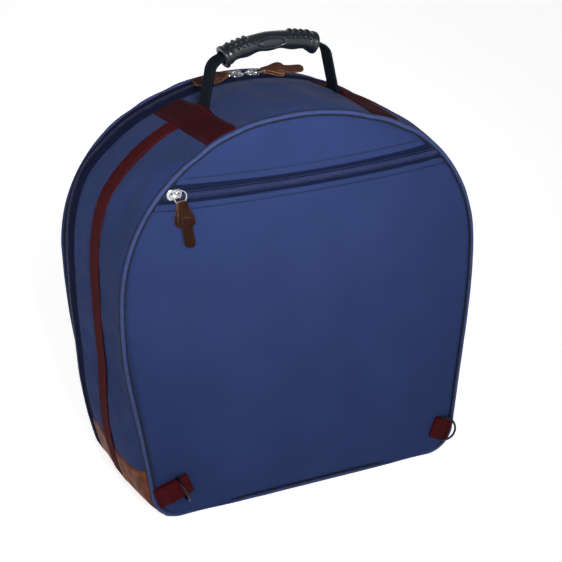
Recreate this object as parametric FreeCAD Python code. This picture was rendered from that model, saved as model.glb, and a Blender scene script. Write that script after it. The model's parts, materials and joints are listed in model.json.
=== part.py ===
"""Round-topped padded flight bag: a soft case with a zipped lid, a back pocket and a moulded handle.

Millimetres, +Z up. The bag stands on its base at z = 0 with the origin under its middle.
The back panel, with the pocket and the two strap rings, faces -Y, and the lid faces +Y.
Every wall is a sandwich of cover fabric, foam and lining. All the layers follow one outline:
a flat base, rounded bottom corners, sides that lean in, and a round top of three arcs.
A layer's place is its inset, the distance inwards from that outline.
Each function below makes one piece, and its name is the name of the STEP file.
"""

import FreeCAD
import Part

import math
import os

from FreeCAD import Vector

# Outline of the bag, seen from the back.
HALF_WIDTH = 210.0
HEIGHT = 436.0
TOP_RADIUS = 270.5
SHOULDER_RADIUS = 169.0
SIDE_RADIUS = 815.0
SIDE_ARC_DROP = 100.0
CORNER_RADIUS = 34.0
HALF_DEPTH = 99.0

# Layers of the walls, as insets from the outline.
WEB_THICK = 1.5
COVER_IN = 1.5
FOAM_IN = 2.5
LINING_IN = 10.5
ROOM_IN = 11.5
PIPING_R = 2.2
PIPING_SEAT = 4.6

# The same layers from front to back, along Y.
COVER_Y = HALF_DEPTH - 1.5
COVER_BACK_Y = COVER_Y - 1.0
SEAT_Y = HALF_DEPTH - PIPING_SEAT
LINING_Y = HALF_DEPTH - 10.5
ROOM_Y = HALF_DEPTH - 11.5
POCKET_GAP = 0.8
POCKET_WALL = 0.7

# Main zip: the lid parts from the body at ZIP_Y, above ZIP_FOOT_Z.
ZIP_Y = 70.0
ZIP_GAP = 0.4
ZIP_TAPE_Y = 50.0
ZIP_FOOT_Z = 16.0
COIL_WIDTH = 3.8
COIL_GAP = 0.2
BASE_END_Y = ROOM_Y - 0.3
HINGE_Y = HALF_DEPTH - PIPING_R
HINGE_Z = PIPING_R
BINDING = 2.0

# Leather base, strap that runs round under it, and the two patches under the handle.
LEATHER_TOP = 58.0
WEB_WIDTH = 25.0
STRAP_Y = -10.0
PATCH_ANGLE = 20.5
PATCH_WIDTH = 36.0
BOARD = (150.0, 84.0, 2.0)

# Carry handle. The grip is an arc, and each leg bends down from its end.
GRIP_RADIUS = 198.0
GRIP_HALF_ANGLE = 17.3
GRIP_TOP_Z = 504.0
GRIP_HALF_SIZE = (14.0, 10.5)
HANDLE_WEB = (22.0, 3.0)
LEG_BEND_RADIUS = 17.0
LEG_LEAN = 11.0
FOOT_Z = 437.5
HANDLE_CLEAR = 0.3

# Pocket zip, across the back panel.
POCKET_ZIP_Z = 372.5
POCKET_MOUTH = 23.0
POCKET_TAPE = 15.0
POCKET_SLIDER_X = -148.0
POCKET_SLIDER_LIFT = 1.25

# Slider, ring and leather pull, shared by the three zips.
PLATE = (17.0, 12.5, 1.7)
SLIDER_LIFT = 0.5
RING_SIDE = 13.0
POCKET_RING = (-10.4, 5.8)
RING_BEND = 2.5
RING_WIRE = 1.0
PIN_N = 2.95
PIN_CLEAR = 0.35
FOLD_IN = 1.3
LEATHER = 1.8
FOLD_WIDTH = 9.5
PULL_LENGTH = 50.0
SLIDER_ANGLES = {"left": -0.4, "right": 3.7}

# Strap rings at the lower corners of the back panel, each in a folded tab of webbing.
TAB_WIDTH = 24.0
TAB_LAYER = 1.6
TAB_GAP = 3.2
TAB_LENGTH = 36.0
TAB_TILT = 20.5
TAB_FOOT = (181.0, 29.0)
RING_D_WIRE = 1.3
RING_D_HALF = 13.8
RING_D_SIDE = 7.0
RING_D_BEND = 2.5
D_RINGS = {"left": (27.0, 90.0), "right": (15.0, 162.0)}

BIG = 600.0
SIDES = {"left": -1, "right": 1}


# ---------------------------------------------------------------- outline and layers

def unit(angle):
    """Unit vector in the XZ plane, with the angle in degrees from +X towards +Z."""
    turn = math.radians(angle)
    return Vector(math.cos(turn), 0, math.sin(turn))


def arc(centre, radius, start, end):
    """Edge of a circle in the XZ plane, between two angles in degrees."""
    points = [centre + unit(a) * radius for a in (start, (start + end) / 2, end)]
    return Part.Arc(*points).toShape()


def mirrored(point):
    return Vector(-point.x, point.y, point.z)


def outline_parts():
    """Centres and angles of the right half of the outline: top, shoulder, side and corner."""
    top = Vector(0, 0, HEIGHT - TOP_RADIUS)
    reach = HALF_WIDTH - SHOULDER_RADIUS
    rise = math.sqrt((TOP_RADIUS - SHOULDER_RADIUS) ** 2 - reach**2)
    shoulder = Vector(reach, 0, top.z + rise)
    top_end = math.degrees(math.atan2(rise, reach))
    side = Vector(HALF_WIDTH - SIDE_RADIUS, 0, shoulder.z)
    side_end = -math.degrees(math.asin(SIDE_ARC_DROP / SIDE_RADIUS))
    side_foot = side + unit(side_end) * SIDE_RADIUS
    out = unit(side_end)
    corner_x = side_foot.x - (CORNER_RADIUS + out.z * (CORNER_RADIUS - side_foot.z)) / out.x
    corner = Vector(corner_x, 0, CORNER_RADIUS)
    return top, shoulder, side, corner, top_end, side_end


def outline(inset, y):
    """Closed wire of the bag's outline, moved inwards by inset, at depth y."""
    top, shoulder, side, corner, top_end, side_end = outline_parts()
    right = [
        arc(shoulder, SHOULDER_RADIUS - inset, top_end, 0),
        arc(side, SIDE_RADIUS - inset, 0, side_end),
    ]
    side_foot = side + unit(side_end) * (SIDE_RADIUS - inset)
    corner_start = corner + unit(side_end) * (CORNER_RADIUS - inset)
    right.append(Part.LineSegment(side_foot, corner_start).toShape())
    right.append(arc(corner, CORNER_RADIUS - inset, side_end, -90))
    left = [edge.mirror(Vector(0, 0, 0), Vector(1, 0, 0)) for edge in right]
    foot = Vector(corner.x, 0, inset)
    edges = [arc(top, TOP_RADIUS - inset, 180 - top_end, top_end)]
    edges += right + [Part.LineSegment(foot, mirrored(foot)).toShape()] + left
    wire = Part.Wire(Part.__sortEdges__(edges))
    wire.translate(Vector(0, y, 0))
    return wire


def slab(inset, y0, y1):
    """Solid plate of the outline between two depths."""
    return Part.Face(outline(inset, y0)).extrude(Vector(0, y1 - y0, 0))


def band(inset0, inset1, y0, y1):
    """Hollow ring of wall between two insets and two depths."""
    return slab(inset0, y0, y1).cut(slab(inset1, y0 - 1, y1 + 1))


def box(x0, x1, y0, y1, z0, z1):
    return Part.makeBox(x1 - x0, y1 - y0, z1 - z0, Vector(x0, y0, z0))


def above(shape, z):
    return shape.common(box(-BIG, BIG, -BIG, BIG, z, BIG))


def below(shape, z):
    return shape.common(box(-BIG, BIG, -BIG, BIG, -BIG, z))


def swept_wire(path, radius):
    """Round bar of the given radius along a closed path of lines and arcs."""
    start = path.Edges[0]
    profile = Part.Circle(start.Vertexes[0].Point, start.tangentAt(start.FirstParameter), radius)
    shell = path.makePipeShell([Part.Wire(profile.toShape())], True, False)
    return shell if shell.ShapeType == "Solid" else Part.Solid(shell)


def piping(y):
    return swept_wire(outline(PIPING_R, y), PIPING_R)


def placed(shape, origin, u, v, n):
    """Moves a shape made in its own u, v, n axes to its place on the bag."""
    matrix = FreeCAD.Matrix(
        u.x, v.x, n.x, origin.x,
        u.y, v.y, n.y, origin.y,
        u.z, v.z, n.z, origin.z,
        0, 0, 0, 1,
    )
    moved = shape.copy()
    moved.Placement = FreeCAD.Placement(matrix).multiply(moved.Placement)
    return moved


def prism(points, direction):
    """Solid from a closed polygon, extruded along a vector."""
    return Part.Face(Part.makePolygon(points + points[:1])).extrude(direction)


# ---------------------------------------------------------------- back panel and pocket

def back_panel_foam():
    rim = slab(FOAM_IN, -SEAT_Y, -LINING_Y)
    face = slab(PIPING_SEAT, -pocket_wall_y()[1], -SEAT_Y)
    return rim.fuse(face).removeSplitter()


def back_panel_lining():
    return slab(LINING_IN, -LINING_Y, -ROOM_Y)


def back_piping():
    return piping(-HINGE_Y)


def back_seam_binding():
    return band(ROOM_IN, ROOM_IN + BINDING, -ROOM_Y, -ROOM_Y + BINDING)


def pocket_wall_y():
    """Depths of the pocket's back wall, outer then inner, both counted as positive."""
    outer = COVER_BACK_Y - POCKET_GAP
    return outer, outer - POCKET_WALL


def pocket_back_wall():
    outer, inner = pocket_wall_y()
    return slab(PIPING_SEAT, -outer, -inner)


def pocket_cover():
    return slab(PIPING_SEAT, -COVER_Y, -COVER_BACK_Y)


def pocket_top_panel():
    return above(pocket_cover(), POCKET_ZIP_Z + POCKET_MOUTH / 2)


def pocket_front_panel():
    return below(pocket_cover(), POCKET_ZIP_Z - POCKET_MOUTH / 2)


def pocket_zip_tape(side):
    """One half of the pocket's zip tape, above (1) or below (-1) the chain."""
    near = POCKET_ZIP_Z + side * ZIP_GAP
    far = near + side * POCKET_TAPE
    tape = slab(PIPING_SEAT, -COVER_BACK_Y, -COVER_BACK_Y + POCKET_GAP - 0.2)
    return below(above(tape, min(near, far)), max(near, far))


def pocket_zip_coil():
    coil = slab(PIPING_SEAT, -COVER_Y - 0.4, -COVER_BACK_Y)
    halves = []
    for side in (1, -1):
        near = POCKET_ZIP_Z + side * COIL_GAP
        far = near + side * COIL_WIDTH
        halves.append(below(above(coil, min(near, far)), max(near, far)))
    return Part.makeCompound(halves)


# ---------------------------------------------------------------- gusset, base and inside

def gusset_fabric():
    return above(band(COVER_IN, FOAM_IN, -SEAT_Y, ZIP_TAPE_Y), LEATHER_TOP)


def gusset_foam():
    return above(band(FOAM_IN, LINING_IN, -LINING_Y, ZIP_Y - ZIP_GAP), LEATHER_TOP)


def base_foam():
    wall = below(band(FOAM_IN, LINING_IN, -LINING_Y, ZIP_Y - ZIP_GAP), LEATHER_TOP)
    front = below(band(FOAM_IN, LINING_IN, ZIP_Y - ZIP_GAP, BASE_END_Y), ZIP_FOOT_Z)
    return wall.fuse(front).removeSplitter()


def gusset_lining():
    wall = band(LINING_IN, ROOM_IN, -ROOM_Y, ZIP_Y - ZIP_GAP)
    front = below(band(LINING_IN, ROOM_IN, ZIP_Y - ZIP_GAP, BASE_END_Y), ZIP_FOOT_Z)
    return wall.fuse(front).removeSplitter()


def strap_band():
    return band(0, WEB_THICK, STRAP_Y - WEB_WIDTH / 2, STRAP_Y + WEB_WIDTH / 2)


def base_leather():
    wall = below(band(0, FOAM_IN, -SEAT_Y, ZIP_TAPE_Y), LEATHER_TOP)
    front = below(band(0, FOAM_IN, ZIP_TAPE_Y, BASE_END_Y), ZIP_FOOT_Z)
    return wall.fuse(front).removeSplitter().cut(strap_band())


def base_board():
    half_x, half_y, thick = BOARD
    return box(-half_x, half_x, -half_y, half_y, ROOM_IN, ROOM_IN + thick)


def hinge_strip():
    """Leather strip that joins the base to the lid's piping, which is the hinge."""
    half = outline_parts()[3].x
    return box(-half, half, BASE_END_Y, SEAT_Y - 0.1, 0.1, 1.2)


def patch_axes(side):
    """Middle of a handle patch on the outline, with its tangent and outward normal."""
    top = outline_parts()[0]
    normal = unit(90 - side * PATCH_ANGLE)
    tangent = unit(-side * PATCH_ANGLE)
    return top + normal * TOP_RADIUS, tangent, normal


def handle_patch(side):
    middle, tangent, normal = patch_axes(side)
    half = PATCH_WIDTH / 2
    block = Part.makeBox(PATCH_WIDTH, BIG, 40, Vector(-half, -BIG / 2, -20))
    block = placed(block, middle, tangent, Vector(0, 1, 0), normal)
    return band(0, WEB_THICK, -SEAT_Y, ZIP_TAPE_Y).common(block)


def side_strap():
    """Webbing from one patch down the side, under the base and up to the other patch."""
    middle, tangent, normal = patch_axes(1)
    edge = middle + tangent * (PATCH_WIDTH / 2)
    low, high = HEIGHT / 2, BIG
    right = [edge + normal * ((z - edge.z) / normal.z) for z in (low, high)]
    corners = [mirrored(right[0]), right[0], right[1], mirrored(right[1])]
    corners = [Vector(p.x, -BIG, p.z) for p in corners]
    return strap_band().cut(prism(corners, Vector(0, 2 * BIG, 0)))


# ---------------------------------------------------------------- main zip and lid

def body_zip_tape():
    return above(band(COVER_IN, FOAM_IN, ZIP_TAPE_Y, ZIP_Y - ZIP_GAP), ZIP_FOOT_Z)


def body_zip_coil():
    near = ZIP_Y - COIL_GAP
    return above(band(0, COVER_IN, near - COIL_WIDTH, near), ZIP_FOOT_Z)


def lid_zip_tape():
    return above(band(COVER_IN, FOAM_IN, ZIP_Y + ZIP_GAP, SEAT_Y), ZIP_FOOT_Z)


def lid_zip_coil():
    near = ZIP_Y + COIL_GAP
    return above(band(0, COVER_IN, near, near + COIL_WIDTH), ZIP_FOOT_Z)


def main_zip_stops():
    """Metal stop on the body's half of the chain, at each foot of the zip."""
    near = ZIP_Y - COIL_GAP
    stops = band(-0.8, 0, near - COIL_WIDTH, near)
    return below(above(stops, ZIP_FOOT_Z), ZIP_FOOT_Z + 4)


def lid_cover():
    return slab(PIPING_SEAT, COVER_BACK_Y, COVER_Y)


def lid_foam():
    rim = slab(FOAM_IN, LINING_Y, SEAT_Y)
    face = slab(PIPING_SEAT, SEAT_Y, COVER_BACK_Y)
    return rim.fuse(face).removeSplitter()


def lid_lining():
    return slab(LINING_IN, ROOM_Y, LINING_Y)


def lid_rim_foam():
    return above(band(FOAM_IN, LINING_IN, ZIP_Y + ZIP_GAP, LINING_Y), ZIP_FOOT_Z)


def lid_rim_lining():
    return above(band(LINING_IN, ROOM_IN, ZIP_Y + ZIP_GAP, ROOM_Y), ZIP_FOOT_Z)


def lid_seam_binding():
    ring = band(ROOM_IN, ROOM_IN + BINDING, ROOM_Y - BINDING, ROOM_Y)
    return above(ring, ZIP_FOOT_Z)


def lid_piping():
    return piping(HINGE_Y)


# ---------------------------------------------------------------- handle

def grip_centre():
    """Centre of the grip's arc, and of the bend at its right-hand end."""
    middle = Vector(0, 0, GRIP_TOP_Z - GRIP_HALF_SIZE[1] - GRIP_RADIUS)
    bend = middle + unit(90 - GRIP_HALF_ANGLE) * (GRIP_RADIUS - LEG_BEND_RADIUS)
    return middle, bend


def leg_foot_x():
    """X of the middle of the right leg at its foot."""
    bend = grip_centre()[1]
    knee = bend + unit(LEG_LEAN) * LEG_BEND_RADIUS
    return knee.x + (knee.z - FOOT_Z) * math.tan(math.radians(LEG_LEAN))


def leg_pivot():
    return Vector(leg_foot_x(), STRAP_Y, FOOT_Z)


def handle_side_line(offset):
    """Edges of the handle's webbing line, moved outwards by offset: left foot to right foot."""
    middle, bend = grip_centre()
    knee = bend + unit(LEG_LEAN) * (LEG_BEND_RADIUS + offset)
    fall = (knee.z - FOOT_Z) * math.tan(math.radians(LEG_LEAN))
    foot = Vector(knee.x + fall, 0, FOOT_Z)
    left, right = 90 + GRIP_HALF_ANGLE, 90 - GRIP_HALF_ANGLE
    return [
        Part.LineSegment(mirrored(foot), mirrored(knee)).toShape(),
        arc(mirrored(bend), LEG_BEND_RADIUS + offset, 180 - LEG_LEAN, left),
        arc(middle, GRIP_RADIUS + offset, left, right),
        arc(bend, LEG_BEND_RADIUS + offset, right, LEG_LEAN),
        Part.LineSegment(knee, foot).toShape(),
    ]


def foot_disc(side, radius, thick):
    """Round end of a leg, about the handle's hinge axis."""
    pivot = leg_pivot()
    start = Vector(side * pivot.x - thick / 2, pivot.y, pivot.z)
    return Part.makeCylinder(radius, thick, start, Vector(1, 0, 0))


def handle_webbing():
    width, thick = HANDLE_WEB
    outer, inner = handle_side_line(thick / 2), handle_side_line(-thick / 2)
    caps = []
    for end, vertex in ((0, 0), (-1, -1)):
        ends = (outer[end].Vertexes[vertex].Point, inner[end].Vertexes[vertex].Point)
        caps.append(Part.LineSegment(*ends).toShape())
    wire = Part.Wire(Part.__sortEdges__(outer + inner + caps))
    strip = Part.Face(wire).extrude(Vector(0, width, 0))
    strip.translate(Vector(0, STRAP_Y - width / 2, 0))
    for side in SIDES.values():
        strip = strip.fuse(foot_disc(side, width / 2, thick))
    return strip.removeSplitter()


def turned_about_grip(face):
    """Turns a cross-section at the middle of the grip along the grip's arc."""
    middle = grip_centre()[0]
    face.rotate(middle, Vector(0, 1, 0), -GRIP_HALF_ANGLE)
    return face.revolve(middle, Vector(0, 1, 0), 2 * GRIP_HALF_ANGLE)


def handle_grip():
    half_y, half_z = GRIP_HALF_SIZE
    centre = Vector(0, STRAP_Y, GRIP_TOP_Z - half_z)
    ellipse = Part.Ellipse(centre + Vector(0, half_y, 0), centre + Vector(0, 0, half_z), centre)
    solid = turned_about_grip(Part.Face(Part.Wire(ellipse.toShape())))
    slot_y, slot_z = HANDLE_WEB[0] / 2 + 0.2, HANDLE_WEB[1] / 2 + 0.2
    corners = [(-1, -1), (1, -1), (1, 1), (-1, 1), (-1, -1)]
    points = [centre + Vector(0, y * slot_y, z * slot_z) for y, z in corners]
    return solid.cut(turned_about_grip(Part.Face(Part.makePolygon(points))))


def handle_anchor(side):
    """Sewn end of the handle's webbing, which stands up beside its patch."""
    width, thick = HANDLE_WEB
    pivot = leg_pivot()
    x = side * pivot.x
    top = pivot.z - 9.8
    post = box(x - thick / 2, x + thick / 2, pivot.y - width / 2, pivot.y + width / 2, 400, top)
    post = post.cut(foot_disc(side, width / 2 + HANDLE_CLEAR, 3 * thick))
    post = post.cut(slab(COVER_IN, -SEAT_Y, ZIP_TAPE_Y))
    return post.cut(handle_patch(side))


# ---------------------------------------------------------------- sliders, rings and pulls

def slider_blank():
    """Slider in its own axes: u along the zip, v across it, n outwards. The pin is along v."""
    long, wide, thick = PLATE
    round_r = wide * 0.42
    plate = Part.makeBox(long, wide, thick, Vector(-long / 2, -wide / 2, 0))
    upright = [e for e in plate.Edges if abs(e.tangentAt(0).z) > 0.9]
    plate = plate.makeFillet(round_r, upright)
    flange_v, flange_drop = 1.3, 1.6
    flange = Part.makeBox(long - 2 * round_r, flange_v, flange_drop + thick / 2)
    flange.translate(Vector(-long / 2 + round_r, -wide / 2, -flange_drop))
    arch_half, arch_top, arch_v = 5.0, 6.2, 4.4
    feet = [Vector(-arch_half, -arch_v / 2, thick - 0.2), Vector(arch_half, -arch_v / 2, thick - 0.2)]
    crown = Part.Arc(feet[0], Vector(0, -arch_v / 2, arch_top), feet[1]).toShape()
    side = Part.Wire([crown, Part.LineSegment(feet[1], feet[0]).toShape()])
    arch = Part.Face(side).extrude(Vector(0, arch_v, 0))
    body = plate.fuse([flange, arch]).removeSplitter()
    hole = Part.makeCylinder(RING_WIRE + PIN_CLEAR, 2 * wide, Vector(0, -wide, PIN_N), Vector(0, 1, 0))
    return body.cut(hole)


def corner_arc(before, corner, after, radius):
    """Points where a round corner starts, its middle and its end, for a square corner."""
    into = (corner - before).normalize()
    out = (after - corner).normalize()
    centre = corner - into * radius + out * radius
    middle = centre + (into - out).normalize() * radius
    return corner - into * radius, middle, corner + out * radius


def rounded_loop(corners, radius):
    """Closed path through the corners of a rectangle, with round corners."""
    count = len(corners)
    bends = []
    for i, corner in enumerate(corners):
        bends.append(corner_arc(corners[i - 1], corner, corners[(i + 1) % count], radius))
    edges = []
    for i, (start, middle, end) in enumerate(bends):
        edges.append(Part.Arc(start, middle, end).toShape())
        edges.append(Part.LineSegment(end, bends[(i + 1) % count][0]).toShape())
    return Part.Wire(edges)


def ring_blank(low, high):
    """Wire ring in the slider's axes, with its pin side at u = 0 and two limits across it."""
    places = [(0, low), (RING_SIDE, low), (RING_SIDE, high), (0, high)]
    path = rounded_loop([Vector(u, v, PIN_N) for u, v in places], RING_BEND)
    return swept_wire(path, RING_WIRE)


def pull_blank():
    """Leather pull in its own axes: folded round a bar along v at the origin, then along u.

    The fold is two layers, which meet in a knot where the tail comes through its slit.
    """
    outer = FOLD_IN + LEATHER
    knot_start, knot_end, tail_half = 7.0, 27.0, 1.2
    nose = Part.Arc(Vector(0, 0, outer), Vector(-outer, 0, 0), Vector(0, 0, -outer)).toShape()
    corners = [(0, -outer), (knot_end, -outer), (knot_end + 2, -tail_half), (PULL_LENGTH, -tail_half)]
    corners += [(PULL_LENGTH, tail_half), (knot_end + 2, tail_half), (knot_end, outer), (0, outer)]
    lower = Part.makePolygon([Vector(u, 0, n) for u, n in corners])
    profile = Part.Face(Part.Wire([nose] + lower.Edges))
    slot = Part.Face(Part.makePolygon([
        Vector(0, 0, -FOLD_IN), Vector(knot_start, 0, 0), Vector(0, 0, FOLD_IN), Vector(0, 0, -FOLD_IN),
    ]))
    side = profile.extrude(Vector(0, BIG, 0))
    side = side.cut(slot.extrude(Vector(0, BIG, 0)))
    side = side.cut(Part.makeCylinder(FOLD_IN, BIG, Vector(0, 0, 0), Vector(0, 1, 0)))
    side.translate(Vector(0, -BIG / 2, 0))
    fold, knot, tail = FOLD_WIDTH / 2, 9.5, 6.2
    half_plan = [(-outer - 1, fold), (5, fold), (20, knot), (26, knot), (30, tail), (PULL_LENGTH - tail, tail)]
    plan = [Vector(u, v, -20) for u, v in half_plan]
    tip = Part.Arc(plan[-1], Vector(PULL_LENGTH, 0, -20), Vector(plan[-1].x, -tail, -20)).toShape()
    left = Part.makePolygon(plan)
    right = left.mirror(Vector(0, 0, 0), Vector(0, 1, 0))
    back = Part.LineSegment(plan[0], Vector(plan[0].x, -plan[0].y, -20)).toShape()
    wire = Part.Wire(Part.__sortEdges__(left.Edges + right.Edges + [tip, back]))
    return side.common(Part.Face(wire).extrude(Vector(0, 0, 40)))


def main_slider_axes(name):
    """Origin and axes of a main zip slider. Both point away from each other along the zip."""
    angle = 90 - SLIDER_ANGLES[name]
    normal = unit(angle)
    away = unit(angle - 90) * SIDES[name]
    origin = outline_parts()[0] + normal * (TOP_RADIUS + SLIDER_LIFT)
    origin.y = ZIP_Y
    return origin, away, Vector(0, 1, 0), normal


def main_slider(name):
    """The slider's flange is on the body's side of the zip, at -Y."""
    origin, away, across, normal = main_slider_axes(name)
    blank = slider_blank()
    if SIDES[name] > 0:
        return placed(blank, origin, away, across, normal)
    blank = blank.mirror(Vector(0, 0, 0), Vector(1, 0, 0))
    return placed(blank, origin, -away, across, normal)


def main_pin(name):
    """Middle of the pin that a main zip ring turns on."""
    origin, _, _, normal = main_slider_axes(name)
    return origin + normal * PIN_N


def main_bar(name):
    """Middle of the ring's far side, which the leather pull is folded round."""
    return main_pin(name) + main_slider_axes(name)[1] * RING_SIDE


def main_ring(name):
    origin, away, across, normal = main_slider_axes(name)
    across = normal.cross(away)
    blank = ring_blank(-RING_SIDE / 2, RING_SIDE / 2)
    return placed(blank, origin, away, across, normal)


def main_pull(name):
    _, away, _, normal = main_slider_axes(name)
    return placed(pull_blank(), main_bar(name), away, normal.cross(away), normal)


def pocket_slider_origin():
    return Vector(POCKET_SLIDER_X, -COVER_Y - POCKET_SLIDER_LIFT - SLIDER_LIFT, POCKET_ZIP_Z)


def pocket_pin():
    return pocket_slider_origin() + Vector(0, -PIN_N, 0)


def pocket_bar():
    """Middle of the ring's lower side, where the leather pull hangs."""
    return pocket_pin() + Vector(RING_SIDE / 2, 0, POCKET_RING[0])


def pocket_slider_axes():
    return pocket_slider_origin(), Vector(1, 0, 0), Vector(0, 0, 1), Vector(0, -1, 0)


def pocket_zip_slider():
    return placed(slider_blank(), *pocket_slider_axes())


def pocket_zip_ring():
    return placed(ring_blank(*POCKET_RING), *pocket_slider_axes())


def pocket_zip_pull():
    return placed(pull_blank(), pocket_bar(), Vector(0, 0, -1), Vector(1, 0, 0), Vector(0, -1, 0))


# ---------------------------------------------------------------- strap tabs and rings

def tab_axes(side):
    """Foot of a strap tab on the back panel, with its run, its width and the way out."""
    origin = Vector(side * TAB_FOOT[0], -COVER_Y, TAB_FOOT[1])
    run = unit(TAB_TILT)
    run.x *= -side
    out = Vector(0, -1, 0)
    return origin, run, out.cross(run), out


def tab_blank():
    """Folded tab in its own axes: along u from the seam, across v and out along n."""
    top = 2 * TAB_LAYER + TAB_GAP
    seam = 1.0
    outer = [Vector(TAB_LENGTH, 0, 0), Vector(0, 0, 0), Vector(0, 0, 2 * TAB_LAYER)]
    outer += [Vector(8, 0, top), Vector(TAB_LENGTH, 0, top)]
    outer_nose = Part.Arc(outer[-1], Vector(TAB_LENGTH + top / 2, 0, top / 2), outer[0]).toShape()
    block = Part.Face(Part.Wire(Part.makePolygon(outer).Edges + [outer_nose]))
    inner = [Vector(TAB_LENGTH, 0, TAB_LAYER), Vector(seam, 0, TAB_LAYER)]
    inner += [Vector(9, 0, top - TAB_LAYER), Vector(TAB_LENGTH, 0, top - TAB_LAYER)]
    inner_nose = Part.Arc(inner[-1], Vector(TAB_LENGTH + TAB_GAP / 2, 0, top / 2), inner[0]).toShape()
    gap = Part.Face(Part.Wire(Part.makePolygon(inner).Edges + [inner_nose]))
    blank = block.cut(gap).extrude(Vector(0, TAB_WIDTH, 0))
    blank.translate(Vector(0, -TAB_WIDTH / 2, 0))
    return blank


def strap_tab(side):
    tab = placed(tab_blank(), *tab_axes(side))
    return tab.common(slab(PIPING_SEAT + 0.2, -BIG, 0))


def d_ring_bar(name):
    """Middle of a strap ring's straight bar."""
    along = D_RINGS[name][0]
    origin, run, _, out = tab_axes(SIDES[name])
    return origin + run * along + out * (TAB_LAYER + TAB_GAP / 2)


def d_ring_blank():
    """D-shaped ring in its own axes: bar along v at the origin, bow along u."""
    half, bend, side = RING_D_HALF, RING_D_BEND, RING_D_SIDE
    low, high = Vector(0, -half, 0), Vector(0, half, 0)
    low_side, high_side = Vector(side, -half, 0), Vector(side, half, 0)
    first = corner_arc(high, low, low_side, bend)
    last = corner_arc(high_side, high, low, bend)
    edges = [
        Part.LineSegment(last[2], first[0]).toShape(),
        Part.Arc(*first).toShape(),
        Part.LineSegment(first[2], low_side).toShape(),
        Part.Arc(low_side, Vector(side + half, 0, 0), high_side).toShape(),
        Part.LineSegment(high_side, last[0]).toShape(),
        Part.Arc(*last).toShape(),
    ]
    return swept_wire(Part.Wire(edges), RING_D_WIRE)


def d_ring(name):
    """The ring at its rest angle: 0 lies along the tab, 90 stands out and 180 points back."""
    _, run, across, out = tab_axes(SIDES[name])
    lean = math.radians(D_RINGS[name][1])
    bow = run * math.cos(lean) + out * math.sin(lean)
    return placed(d_ring_blank(), d_ring_bar(name), bow, across, bow.cross(across))


# ---------------------------------------------------------------- the whole bag

def pieces():
    """Every node's name and shape."""
    made = {
        "back_panel_foam": back_panel_foam(),
        "back_panel_lining": back_panel_lining(),
        "back_piping": back_piping(),
        "back_seam_binding": back_seam_binding(),
        "pocket_back_wall": pocket_back_wall(),
        "pocket_top_panel": pocket_top_panel(),
        "pocket_front_panel": pocket_front_panel(),
        "pocket_zip_tape_upper": pocket_zip_tape(1),
        "pocket_zip_tape_lower": pocket_zip_tape(-1),
        "pocket_zip_coil": pocket_zip_coil(),
        "pocket_zip_slider": pocket_zip_slider(),
        "pocket_zip_ring": pocket_zip_ring(),
        "pocket_zip_pull": pocket_zip_pull(),
        "gusset_fabric": gusset_fabric(),
        "gusset_foam": gusset_foam(),
        "gusset_lining": gusset_lining(),
        "base_foam": base_foam(),
        "base_leather": base_leather(),
        "base_board": base_board(),
        "hinge_strip": hinge_strip(),
        "side_strap": side_strap(),
        "body_zip_tape": body_zip_tape(),
        "body_zip_coil": body_zip_coil(),
        "main_zip_stops": main_zip_stops(),
        "lid_zip_tape": lid_zip_tape(),
        "lid_zip_coil": lid_zip_coil(),
        "lid_cover": lid_cover(),
        "lid_foam": lid_foam(),
        "lid_lining": lid_lining(),
        "lid_rim_foam": lid_rim_foam(),
        "lid_rim_lining": lid_rim_lining(),
        "lid_seam_binding": lid_seam_binding(),
        "lid_piping": lid_piping(),
        "handle_webbing": handle_webbing(),
        "handle_grip": handle_grip(),
    }
    for name, side in SIDES.items():
        made[f"handle_patch_{name}"] = handle_patch(side)
        made[f"handle_anchor_{name}"] = handle_anchor(side)
        made[f"zip_slider_{name}"] = main_slider(name)
        made[f"zip_ring_{name}"] = main_ring(name)
        made[f"zip_pull_{name}"] = main_pull(name)
        made[f"strap_tab_{name}"] = strap_tab(side)
        made[f"d_ring_{name}"] = d_ring(name)
    return made


def main():
    os.makedirs("parts", exist_ok=True)
    for name, shape in pieces().items():
        shape.exportStep(f"parts/{name}.step")
        sound = shape.isValid() and all(solid.Volume > 0 for solid in shape.Solids)
        print(f"{name}: {len(shape.Solids)} solids, {shape.Volume:.0f} mm3, sound {sound}")


if __name__ == "__main__":
    main()
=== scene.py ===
"""Round-topped padded flight bag: its fabric, leather, zips, webbing and grip, over the CAD frame.

Shapes are worked out in millimetres and turned into metres as each mesh is made.
Walls follow the CAD outline. A place on them is (s, y, out): s is the distance along the outline
from the middle of the top, positive to the right, and out is the height above the outline.
"""

import json
import math

import bpy
import numpy as np
from mathutils import Matrix, Vector, noise


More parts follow.
